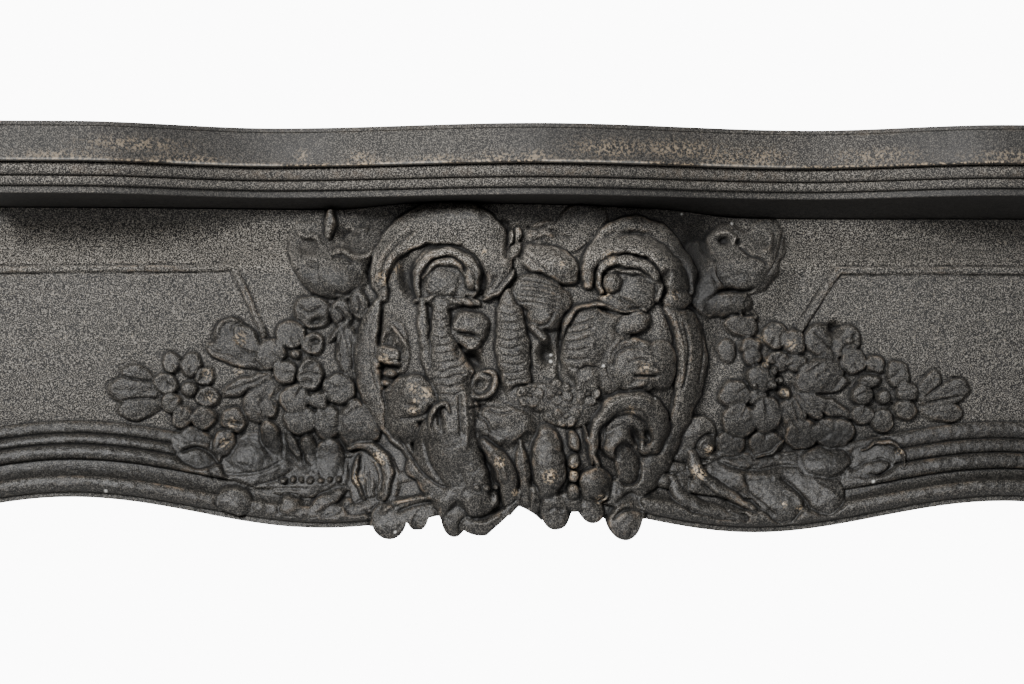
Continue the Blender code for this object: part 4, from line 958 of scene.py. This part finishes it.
def painted_iron(name, lumps, shade, rough_shade, worn, roughness):
    """Black paint on cast iron, thin and brown on the crests, dull and darkened in the hollows by grime and
    painted shade, and lightened by painted highlight on the crests.
    """
    material = bpy.data.materials.new(name)
    material.use_nodes = True
    tree = material.node_tree
    shader = tree.nodes["Principled BSDF"]
    place = add(tree, "ShaderNodeTexCoord", (-1500, 0)).outputs["Object"]
    crest = stored(tree, "crest", (-1200, 400))
    hollow = stored(tree, "hollow", (-1200, 200))
    bare = stored(tree, "bare", (-1200, 0))
    grain = stored(tree, "grain", (-1500, -300))
    tone_with_painted_shade_and_highlight = stored(tree, "tone_with_painted_shade_and_highlight", (200, 300))
    lint = stored(tree, "lint", (400, 300))
    skin = add(tree, "ShaderNodeGroup", (-1200, -300), node_tree=sand_skin)
    for label, value in (("Place", place), ("Grain", grain), ("Lumps", lumps)):
        feed(tree, skin.inputs[label], value)
    clouds = noise(tree, (-1200, 700), place, 26.0, 5.0, 0.6)
    patches = noise(tree, (-1200, 1000), place, 210.0, 4.0, 0.7)
    flakes = noise(tree, (-1200, 1300), place, 620.0, 3.0)

    # the paint, uneven in cloudy areas and in small blotches, with grey specks where grains stand out
    cloud = ramp(tree, clouds, (-900, 700), ((0.3, 0.0), (0.7, 1.0)))
    paint = mixed(tree, (-800, 600), "MIX", grain, shade, rough_shade)
    paint = mixed(tree, (-600, 700), "MULTIPLY", cloud, paint, CLOUD_SHADE)
    blotch = ramp(tree, patches, (-900, 1300), ((0.34, 0.62), (0.66, 1.5)))
    paint = mixed(tree, (-500, 700), "MULTIPLY", 1.0, paint, blotch)
    speck = worked(tree, (-700, 100), "MULTIPLY", skin.outputs["Speck"], grain)
    paint = mixed(tree, (-400, 600), "MIX", speck, paint, SPECK_GREY)

    # worn thin on the crests, gone in spots
    thin = ramp(tree, clouds, (-900, 500), ((0.46, 0.06), (0.64, 1.0)))
    patch = ramp(tree, patches, (-900, 1000), ((0.44, 0.0), (0.62, 1.0)))
    rubbed = worked(tree, (-700, 400), "MULTIPLY", worked(tree, (-800, 450), "MULTIPLY", crest, thin), patch)
    rubbed = worked(tree, (-500, 400), "MULTIPLY", rubbed, worn)
    paint = mixed(tree, (-200, 600), "MIX", rubbed, paint, THIN_BROWN)
    flake = ramp(tree, flakes, (-900, 1600), ((0.5, 0.0), (0.57, 1.0)))
    chipped = worked(tree, (-500, 0), "MULTIPLY", bare, flake, clamp=True)
    paint = mixed(tree, (0, 600), "MIX", chipped, paint, BARE_BROWN)

    # single flecks of bare grey metal and pits, then grime and painted shade in the creases, then painted
    # shade in the hollows and painted highlight on the crests, and lint
    fleck = ramp(tree, flakes, (-900, 1900), ((0.655, 0.0), (0.70, 1.0)))
    fleck = worked(tree, (-200, 800), "MULTIPLY", fleck, grain, clamp=True)
    paint = mixed(tree, (0, 800), "MIX", fleck, paint, FLECK_GREY)
    pitted = ramp(tree, flakes, (-900, 2200), ((0.32, 0.3), (0.4, 1.0)))
    paint = mixed(tree, (100, 800), "MULTIPLY", 1.0, paint, pitted)
    # the creases darkened towards black: grime and painted shade
    crease_dirt_and_shade = worked(tree, (0, 200), "MULTIPLY", hollow, 0.7, clamp=True)
    paint = mixed(tree, (200, 600), "MIX", crease_dirt_and_shade, paint, CREASE_DIRT_AND_SHADE_BLACK)
    # painted shade in the hollows and painted highlight on the crests, multiplied into the paint colour
    paint = mixed(tree, (400, 600), "MULTIPLY", 1.0, paint, tone_with_painted_shade_and_highlight)
    paint = mixed(tree, (600, 600), "MIX", lint, paint, LINT_WHITE)
    tree.links.new(paint, shader.inputs["Base Color"])

    shine = worked(tree, (0, -100), "MULTIPLY_ADD", cloud, 0.1, roughness)
    dull = worked(tree, (200, -100), "MULTIPLY_ADD", hollow, 0.3, shine)
    tree.links.new(dull, shader.inputs["Roughness"])
    shader.inputs["Metallic"].default_value = 0.0
    shader.inputs["Specular IOR Level"].default_value = 0.5
    bump = add(tree, "ShaderNodeBump", (0, -400))
    bump.inputs["Strength"].default_value = 1.0
    bump.inputs["Distance"].default_value = 0.0011
    tree.links.new(skin.outputs["Height"], bump.inputs["Height"])
    tree.links.new(bump.outputs["Normal"], shader.inputs["Normal"])
    return material


SOOT_BLACK = (0.006, 0.0056, 0.005, 1.0)
# the frieze paint, with painted shade in the creases and hollows and painted highlight on the crests
frieze_paint = painted_iron("old_black_paint_with_painted_shade_on_sand_casting", 0.6, SOOT_BLACK, SOOT_BLACK, 0.7, 0.45)
GRID_STEP = 0.55
front = Relief(GRID_STEP)
carve(front)

# the lumpy skin of the casting, stronger on the ornament than on the plain panels
chance = np.random.default_rng(11)
carved = smooth((front.reach - front.ground - 0.5) / 2.0)
for count, size in ((9, 0.16), (4, 0.1)):
    lumps = softened(chance.standard_normal(front.x.shape), count)
    front.reach += size * (0.25 + 0.75 * carved) * lumps / lumps.std()

# painted shade over dark hollows and under the shelf, and at the end one place painted lighter, a painted
# highlight: x, z, half sizes and share
PAINTED_LIGHT_AND_SHADE_SPOTS = ((96, 58, 16, 26, 0.8), (100, 44, 12, 30, 0.6), (103, 30, 10, 16, 0.5), (-104, 74, 16, 10, 0.4),
              (-84, 36, 10, 14, 0.45), (-36, -52, 7, 14, 0.3), (8, 3, 7, 12, 0.6), (-146, 58, 14, 14, 0.1),
              (-112, 66, 14, 12, 0.35), (-30, -70, 6, 16, 0.2), (62, -50, 16, 14, 0.15),
              (134, -10, 12, 10, 0.35), (150, -34, 34, 24, 0.2), (205, -34, 22, 20, 0.2),
              (270, 62, 90, 20, 0.3), (280, 6, 70, 44, 0.08), (-126, -4, 10, 14, 0.3),
              (188, -58, 16, 10, 0.45), (-178, -68, 26, 14, 0.35), (-130, -84, 20, 14, 0.2),
              (-80, -30, 16, 14, 0.25), (-4, 78, 26, 8, 0.4), (60, 76, 30, 8, 0.45), (-12, -88, 74, 30, -0.2))
# places where the paint is gone, and where lint sticks: x, z and size
BARE_SPOTS = ((-88, 46, 3), (-97, 40, 4), (-35, 55, 2), (-71, -31, 3.6), (-79, -28, 3), (-77, -36, 2),
              (-78, -42, 3), (-26, -73, 3), (-16, -92, 2), (5, -82, 4), (20, -78, 3), (37, -97, 3),
              (12, 47, 2), (42, 52, 4), (40, 29.5, 3), (82, 29, 3), (63, -16, 3), (55, -42, 3), (100, -82, 4),
              (107, -68, 3), (-100, -72, 4), (-113, -85, 4), (-186, 2, 4), (-187, -17, 3), (-204, -34, 3),
              (-206, -20, 3), (-191, -50, 3), (158, -1, 3), (139, 2, 3), (141, -12, 3), (154, -32, 3),
              (-97, -12, 4), (226, -69, 2), (98, -80, 3), (-195, -62, 4), (152, -101, 2), (162, -104, 2))
LINT_SPOTS = ((6.4, -8, 0.8), (6.2, -12, 0.9), (91, 81, 0.7), (123, 75, 0.9), (38, -14.6, 0.7),
              (70.5, -34.8, 0.6), (-89.6, -116.7, 0.8), (209, -87.5, 0.9), (-266, -91, 1.0), (-336, -84, 0.9))


def spotted(spots):
    """1 inside the spots, 0 away from them."""
    mask = np.zeros(front.x.shape)
    for spot_x, spot_z, size in spots:
        far = np.hypot(front.x - spot_x, front.z - spot_z) / size
        mask = np.maximum(mask, np.clip(1.4 - far, 0.0, 1.0))
    return mask


# painted shade, darker in the broad and the narrow hollows, and painted highlight, lighter on the crests
hollowness = [softened(front.reach, count) - front.reach for count in (16, 6, 4)]
tone_with_painted_shade_and_highlight = np.clip(1.0 - hollowness[0] / 8.5, 0.45, 1.5) * np.clip(1.0 - hollowness[1] / 1.7, 0.3, 1.6)
# painted shade round each spot, a painted highlight where the share is below 0
for shade_x, shade_z, half, tall, share in PAINTED_LIGHT_AND_SHADE_SPOTS:
    away = ((front.x - shade_x) / half) ** 2 + ((front.z - shade_z) / tall) ** 2
    tone_with_painted_shade_and_highlight *= 1.0 - share * np.exp(-away)
beside = smooth((np.abs(front.x) - 100.0) / 14.0) * smooth((front.z + 96.0) / 20.0)
in_cove = smooth((front.z - 40.0) / 12.0) * smooth((78.0 - front.z) / 8.0)
on_moulding = smooth((-50.0 - front.z) / 8.0)
paint_looks = {"crest": np.clip(-hollowness[2] / 0.5, 0.0, 1.0),
               "hollow": np.clip(hollowness[2] / 1.2 - 0.2, 0.0, 1.0),
               "bare": spotted(BARE_SPOTS),
               "grain": (1.0 - 0.36 * carved) * (0.68 - 0.3 * on_moulding + 0.75 * in_cove),
               "tone_with_painted_shade_and_highlight": tone_with_painted_shade_and_highlight * (1.0 - 0.34 * carved * beside),
               "lint": spotted(LINT_SPOTS)}

RIM = 14.0
SKINS = 6
last = front.x.shape[1] - 1
for part in range(SKINS):
    columns = np.arange(round(part * last / SKINS), round((part + 1) * last / SKINS) + 1)
    # x, z, reach and the looks, each with a row more where the plate turns back below and at the joint
    layers = [values[:, columns] for values in (front.x, front.z, front.reach, *paint_looks.values())]
    layers = [np.vstack([values[:1], values, values[-1:]]) for values in layers]
    layers[2][[0, -1]] -= RIM
    if part in (0, SKINS - 1):
        # the sawn end, back to the wall
        at, edge = (0, 0) if part == 0 else (layers[0].shape[1], -1)
        ends = [values[:, edge] for values in layers[:2]] + [0.0] * (len(layers) - 2)
        layers = [np.insert(values, at, end, 1) for values, end in zip(layers, ends)]
    x, z, reach, *looks = layers
    skin, row, column = shaped_grid("frieze_front_%d" % (part + 1), x, -reach, z)
    for label, values in zip(paint_looks, looks):
        keep_values(skin, label, values[row, column])
    bpy.ops.object.shade_smooth_by_angle(angle=math.radians(75.0))
    skin.data.materials.append(frieze_paint)
    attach(skin, "root")
    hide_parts("frieze")


# The back of the same casting, left as it came from the sand: a rim and a middle rib that bear on the wall,
# with two plain pockets between them that follow the front at an even thickness of iron.
RIM_INNER = 332.0
RIB_HALF = 8.0
POCKET_IRON = 11.0
BACK_SHELF = 74.0
turns = np.array([RIB_HALF, RIM_INNER - 1.0, RIM_INNER, HALF_LENGTH])
stations = np.sort(np.concatenate([-turns, turns, np.arange(3.0 - RIM_INNER, RIM_INNER - 2.0, 2.0)]))
in_pocket = (np.abs(stations) < RIM_INNER - 0.5) & (np.abs(stations) > RIB_HALF + 0.5)
low = lower_edge(stations)
top = seam(stations) - SEAM_GAP
tips = outline(stations)
edge_reach = np.interp(stations, front.xs, front.reach[0]) - RIM
top_reach = np.interp(stations, front.xs, front.reach[-1]) - RIM
wall = np.zeros(len(stations))
levels = [(tips, edge_reach), (tips, np.minimum(BACK_SHELF, edge_reach)),
          (low, np.minimum(BACK_SHELF, edge_reach)), (low, wall), (low + 8.0, wall)]
for share in np.linspace(0.0, 1.0, 25):
    height = low + 8.2 + (top - low - 16.4) * share
    floor, _ = ground(stations, height)
    floor = np.where(in_pocket, floor + 0.85 * swelling(stations, height) - POCKET_IRON, wall)
    levels.append((height, floor))
levels += [(top - 8.0, wall), (top, wall), (top, top_reach)]
height, reach = np.array(levels).transpose(1, 0, 2)
back, row, column = shaped_grid("frieze_back", np.repeat(stations[None, :], len(levels), 0), -reach, height)
for label in paint_looks:
    keep_values(back, label, np.full(len(row), {"grain": 1.0, "tone_with_painted_shade_and_highlight": 0.8}.get(label, 0.0)))
bpy.ops.object.shade_smooth_by_angle(angle=math.radians(35.0))
back.data.materials.append(frieze_paint)
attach(back, "root")
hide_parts("frieze")


# The mantel shelf: a second iron casting, a plate with a moulded rim that rests on the frieze.
# Its fascia, two beads and fillet were struck smooth in the mould; the paint is rubbed through at the arris.
SHELF_TOP = round(cad_box[1][2] / MM, 1)
SHELF_REACH = round(-cad_box[0][1] / MM, 1)
SHELF_RECESS = 38.0
PLATE_FOOT = 124.5
TOP_FILLET_FOOT = 128.0
TOP_FILLET_BACK = 3.9
FASCIA_FOOT = 107.8
BEAD_FOOT = 93.3
FILLET_BACK = 12.2
FILLET_FOOT = 88.9
SOFFIT_TOP = 88.6
SOFFIT_BACK = 14.0
LIP_BACK = 10.5
# each bead's centre height, half height, bulge and distance back from the arris
BEADS = ((103.3, 3.8, 2.3, 7.0), (96.4, 2.9, 1.8, 9.9))


def shelf_reach(x):
    return SHELF_REACH - SHELF_RECESS * recess(x)


def shelf_section(x):
    """Once round the section of the rim and plate, as (reach, z) pairs."""
    arris = float(shelf_reach(x))
    joint = float(seam(x))
    lip = float(panel_reach(x) + swelling(x, joint)) - LIP_BACK
    points = [(0.0, SHELF_TOP), (arris - 30.0, SHELF_TOP), (arris - TOP_FILLET_BACK, SHELF_TOP),
              (arris - 3.3, SHELF_TOP - 0.3), (arris - 3.2, SHELF_TOP - 0.8),
              (arris - 3.2, TOP_FILLET_FOOT + 0.6), (arris - TOP_FILLET_BACK, TOP_FILLET_FOOT)]
    for k in range(1, 15):
        u = k / 15.0
        drop = (TOP_FILLET_FOOT - FASCIA_FOOT) * u
        points.append((arris - TOP_FILLET_BACK * (1.0 - u) ** 1.8, TOP_FILLET_FOOT - drop))
    points += [(arris, FASCIA_FOOT + 0.5), (arris - 0.2, FASCIA_FOOT), (arris - 0.8, FASCIA_FOOT - 0.4),
               (arris - 5.6, FASCIA_FOOT - 0.7)]
    for centre, size, bulge, behind in BEADS:
        for k in range(11):
            angle = math.radians(80.0 - 16.0 * k)
            points.append((arris - behind + bulge * math.cos(angle), centre + size * math.sin(angle)))
    points += [(arris - FILLET_BACK - 0.2, BEAD_FOOT), (arris - FILLET_BACK, BEAD_FOOT - 0.3),
               (arris - FILLET_BACK, FILLET_FOOT + 0.5), (arris - FILLET_BACK - 0.4, FILLET_FOOT),
               (arris - SOFFIT_BACK, SOFFIT_TOP)]
    for k in range(1, 10):
        u = k / 9.0
        inward = (lip - arris + SOFFIT_BACK) * u
        points.append((arris - SOFFIT_BACK + inward, SOFFIT_TOP + (joint - SOFFIT_TOP) * u ** 1.4))
    # the hollow side of the rim, and the underside of the plate
    points += [(lip - 14.0, joint), (lip - 14.0, joint + 5.0), (arris - 26.0, 95.5), (arris - 16.0, 108.0),
               (arris - 15.0, PLATE_FOOT), (0.0, PLATE_FOOT)]
    return points


stations = np.linspace(-HALF_LENGTH, HALF_LENGTH, 341)
sections = np.array([shelf_section(x) for x in stations])
loop = np.concatenate([sections, sections[:, :1]], 1).transpose(1, 0, 2)
across = np.repeat(stations[None, :], len(loop), 0)
shelf, _, _ = shaped_grid("shelf", across, -loop[:, :, 0], loop[:, :, 1])
bpy.ops.object.mode_set(mode="EDIT")
bpy.ops.mesh.select_all(action="SELECT")
bpy.ops.mesh.remove_doubles(threshold=0.00002)
bpy.ops.mesh.select_all(action="DESELECT")
bpy.ops.mesh.select_non_manifold()
bpy.ops.mesh.fill_holes(sides=0)
bpy.ops.mesh.select_all(action="SELECT")
bpy.ops.mesh.normals_make_consistent(inside=False)
bpy.ops.object.mode_set(mode="OBJECT")
places = np.empty(3 * len(shelf.data.vertices))
shelf.data.vertices.foreach_get("co", places)
x, y, height = places.reshape(-1, 3).T / MM
out = -y - shelf_reach(x)
on_front = out > -13.0


def streak(centre, spread):
    """1 at one height of the rim, fading within a spread above and below."""
    return np.exp(-((height - centre) / spread) ** 2)


top_edge = (height > 127.0) * (out > -6.0)
worn_lines = 0.5 * streak(FASCIA_FOOT + 0.6, 1.0) * (out > -3.0) + 0.3 * top_edge
keep_values(shelf, "crest", worn_lines + 0.5 * on_front * streak(102.0, 4.0))
# grime and painted shade in the creases between fascia, beads and fillet
creases = 0.4 * streak(107.0, 0.6) + 0.3 * streak(99.4, 0.5) + 0.3 * streak(93.4, 0.5)
keep_values(shelf, "hollow", on_front * creases)
# where the fascia is rubbed: x, z and half sizes
RUBBED_SPOTS = ((-27, 110, 13, 3), (-111, 112, 7, 4), (-104, 109, 14, 2), (-146, 113, 3, 4),
                (136, 113, 16, 6), (-215, 110, 20, 3), (-285, 110, 24, 3), (-5, 111, 10, 3),
                (40, 116, 22, 5), (84, 117, 26, 5), (112, 113, 18, 5), (-62, 110, 16, 2),
                (205, 114, 22, 4), (290, 112, 30, 3), (-245, 118, 26, 4))
rubbed = 0.03 * smooth((120.0 - height) / 9.0)
for spot_x, spot_z, half, tall in RUBBED_SPOTS:
    away = ((x - spot_x) / half) ** 2 + ((height - spot_z) / tall) ** 2
    rubbed = np.maximum(rubbed, 0.5 * np.exp(-away))
keep_values(shelf, "bare", on_front * (streak(FASCIA_FOOT + 0.2, 0.6) + rubbed * (height > FASCIA_FOOT)))
on_beads = smooth((107.5 - height) / 0.6) * smooth((height - 93.0) / 0.6)
blasted = smooth(0.45 + 0.9 * np.sin(x / 37.0 + 3.6))
keep_values(shelf, "grain", 0.1 + on_front * (0.12 + 0.2 * blasted + 0.4 * on_beads))
broken = smooth(0.7 + np.sin(x / 17.0) + 0.6 * np.sin(x / 7.3)) * smooth((190.0 - x) / 60.0)
keep_values(shelf, "lint", 0.26 * broken * on_front * streak(FASCIA_FOOT + 0.1, 0.5))
# painted shade: the fascia's colour darker towards its left end
fascia_painted_shade = 1.06 - 0.2 * smooth((-140.0 - x) / 120.0)
below_tone = np.where(height > BEAD_FOOT, 0.95, np.where(on_front, 0.9, 0.8))
keep_values(shelf, "tone_with_painted_shade_and_highlight", np.where(height > 107.2, fascia_painted_shade, below_tone))
bpy.ops.object.shade_smooth_by_angle(angle=math.radians(32.0))
IRON_GREY = (0.018, 0.0172, 0.0165, 1.0)
IRON_BROWN = (0.012, 0.0107, 0.009, 1.0)
# the shelf paint, with painted shade in the creases and along the fascia's left end
shelf_paint = painted_iron("old_black_paint_with_painted_shade_on_shelf_rim", 0.3, IRON_GREY, IRON_BROWN, 0.8, 0.62)
shelf.data.materials.append(shelf_paint)
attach(shelf, "root")
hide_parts("mantel_shelf")


# The studio: a pale floor and backdrop far enough off that no shadow of the casting shows on them,
# with two soft lights in front of the piece and above it, as a product photograph has.
FLOOR_LEVEL = -1.05
BACKDROP_GLOW = 11.0
AIR_GLOW = 0.13
bpy.ops.object.select_all(action="DESELECT")
bpy.ops.mesh.primitive_plane_add(size=9.0, location=(0.0, 0.0, FLOOR_LEVEL))
floor = bpy.context.object
floor.name = "studio_floor"
pale = bpy.data.materials.new("pale_studio_floor")
pale.use_nodes = True
pale.node_tree.nodes["Principled BSDF"].inputs["Base Color"].default_value = (0.86, 0.86, 0.86, 1.0)
pale.node_tree.nodes["Principled BSDF"].inputs["Roughness"].default_value = 0.8
floor.data.materials.append(pale)

world = bpy.context.scene.world or bpy.data.worlds.new("studio_air")
bpy.context.scene.world = world
world.use_nodes = True
air = world.node_tree
air.nodes["Background"].inputs["Color"].default_value = (1.0, 1.0, 1.0, 1.0)
seen = add(air, "ShaderNodeLightPath", (-600, 0)).outputs["Is Camera Ray"]
strength = worked(air, (-300, 0), "MULTIPLY_ADD", seen, BACKDROP_GLOW, AIR_GLOW)
air.links.new(strength, air.nodes["Background"].inputs["Strength"])


def soft_light(name, place, target, width, height, power):
    bpy.ops.object.light_add(type="AREA", location=place)
    light = bpy.context.object
    light.name = name
    light.data.shape = "RECTANGLE"
    light.data.size = width
    light.data.size_y = height
    light.data.energy = power
    way = [t - p for t, p in zip(target, place)]
    flat = math.hypot(way[0], way[1])
    light.rotation_euler = (math.atan2(flat, -way[2]), 0.0, math.atan2(-way[0], way[1]))


soft_light("key_softbox", (-0.7, -1.5, 0.72), (0.0, -0.05, 0.0), 0.6, 0.4, 46.5)
soft_light("side_softbox", (0.5, -1.7, 0.45), (0.0, 0.0, 0.0), 0.5, 0.4, 5.0)

CAMERA_PLACE = (-0.06826, -1.31895, 0.0)
CAMERA_TURN = math.radians(-2.35)
bpy.ops.object.camera_add(location=CAMERA_PLACE, rotation=(math.radians(90.0), 0.0, CAMERA_TURN))
camera = bpy.context.object
camera.data.lens = 70.3125
camera.data.sensor_width = 36.0
camera.data.clip_start = 0.05
bpy.context.scene.camera = camera
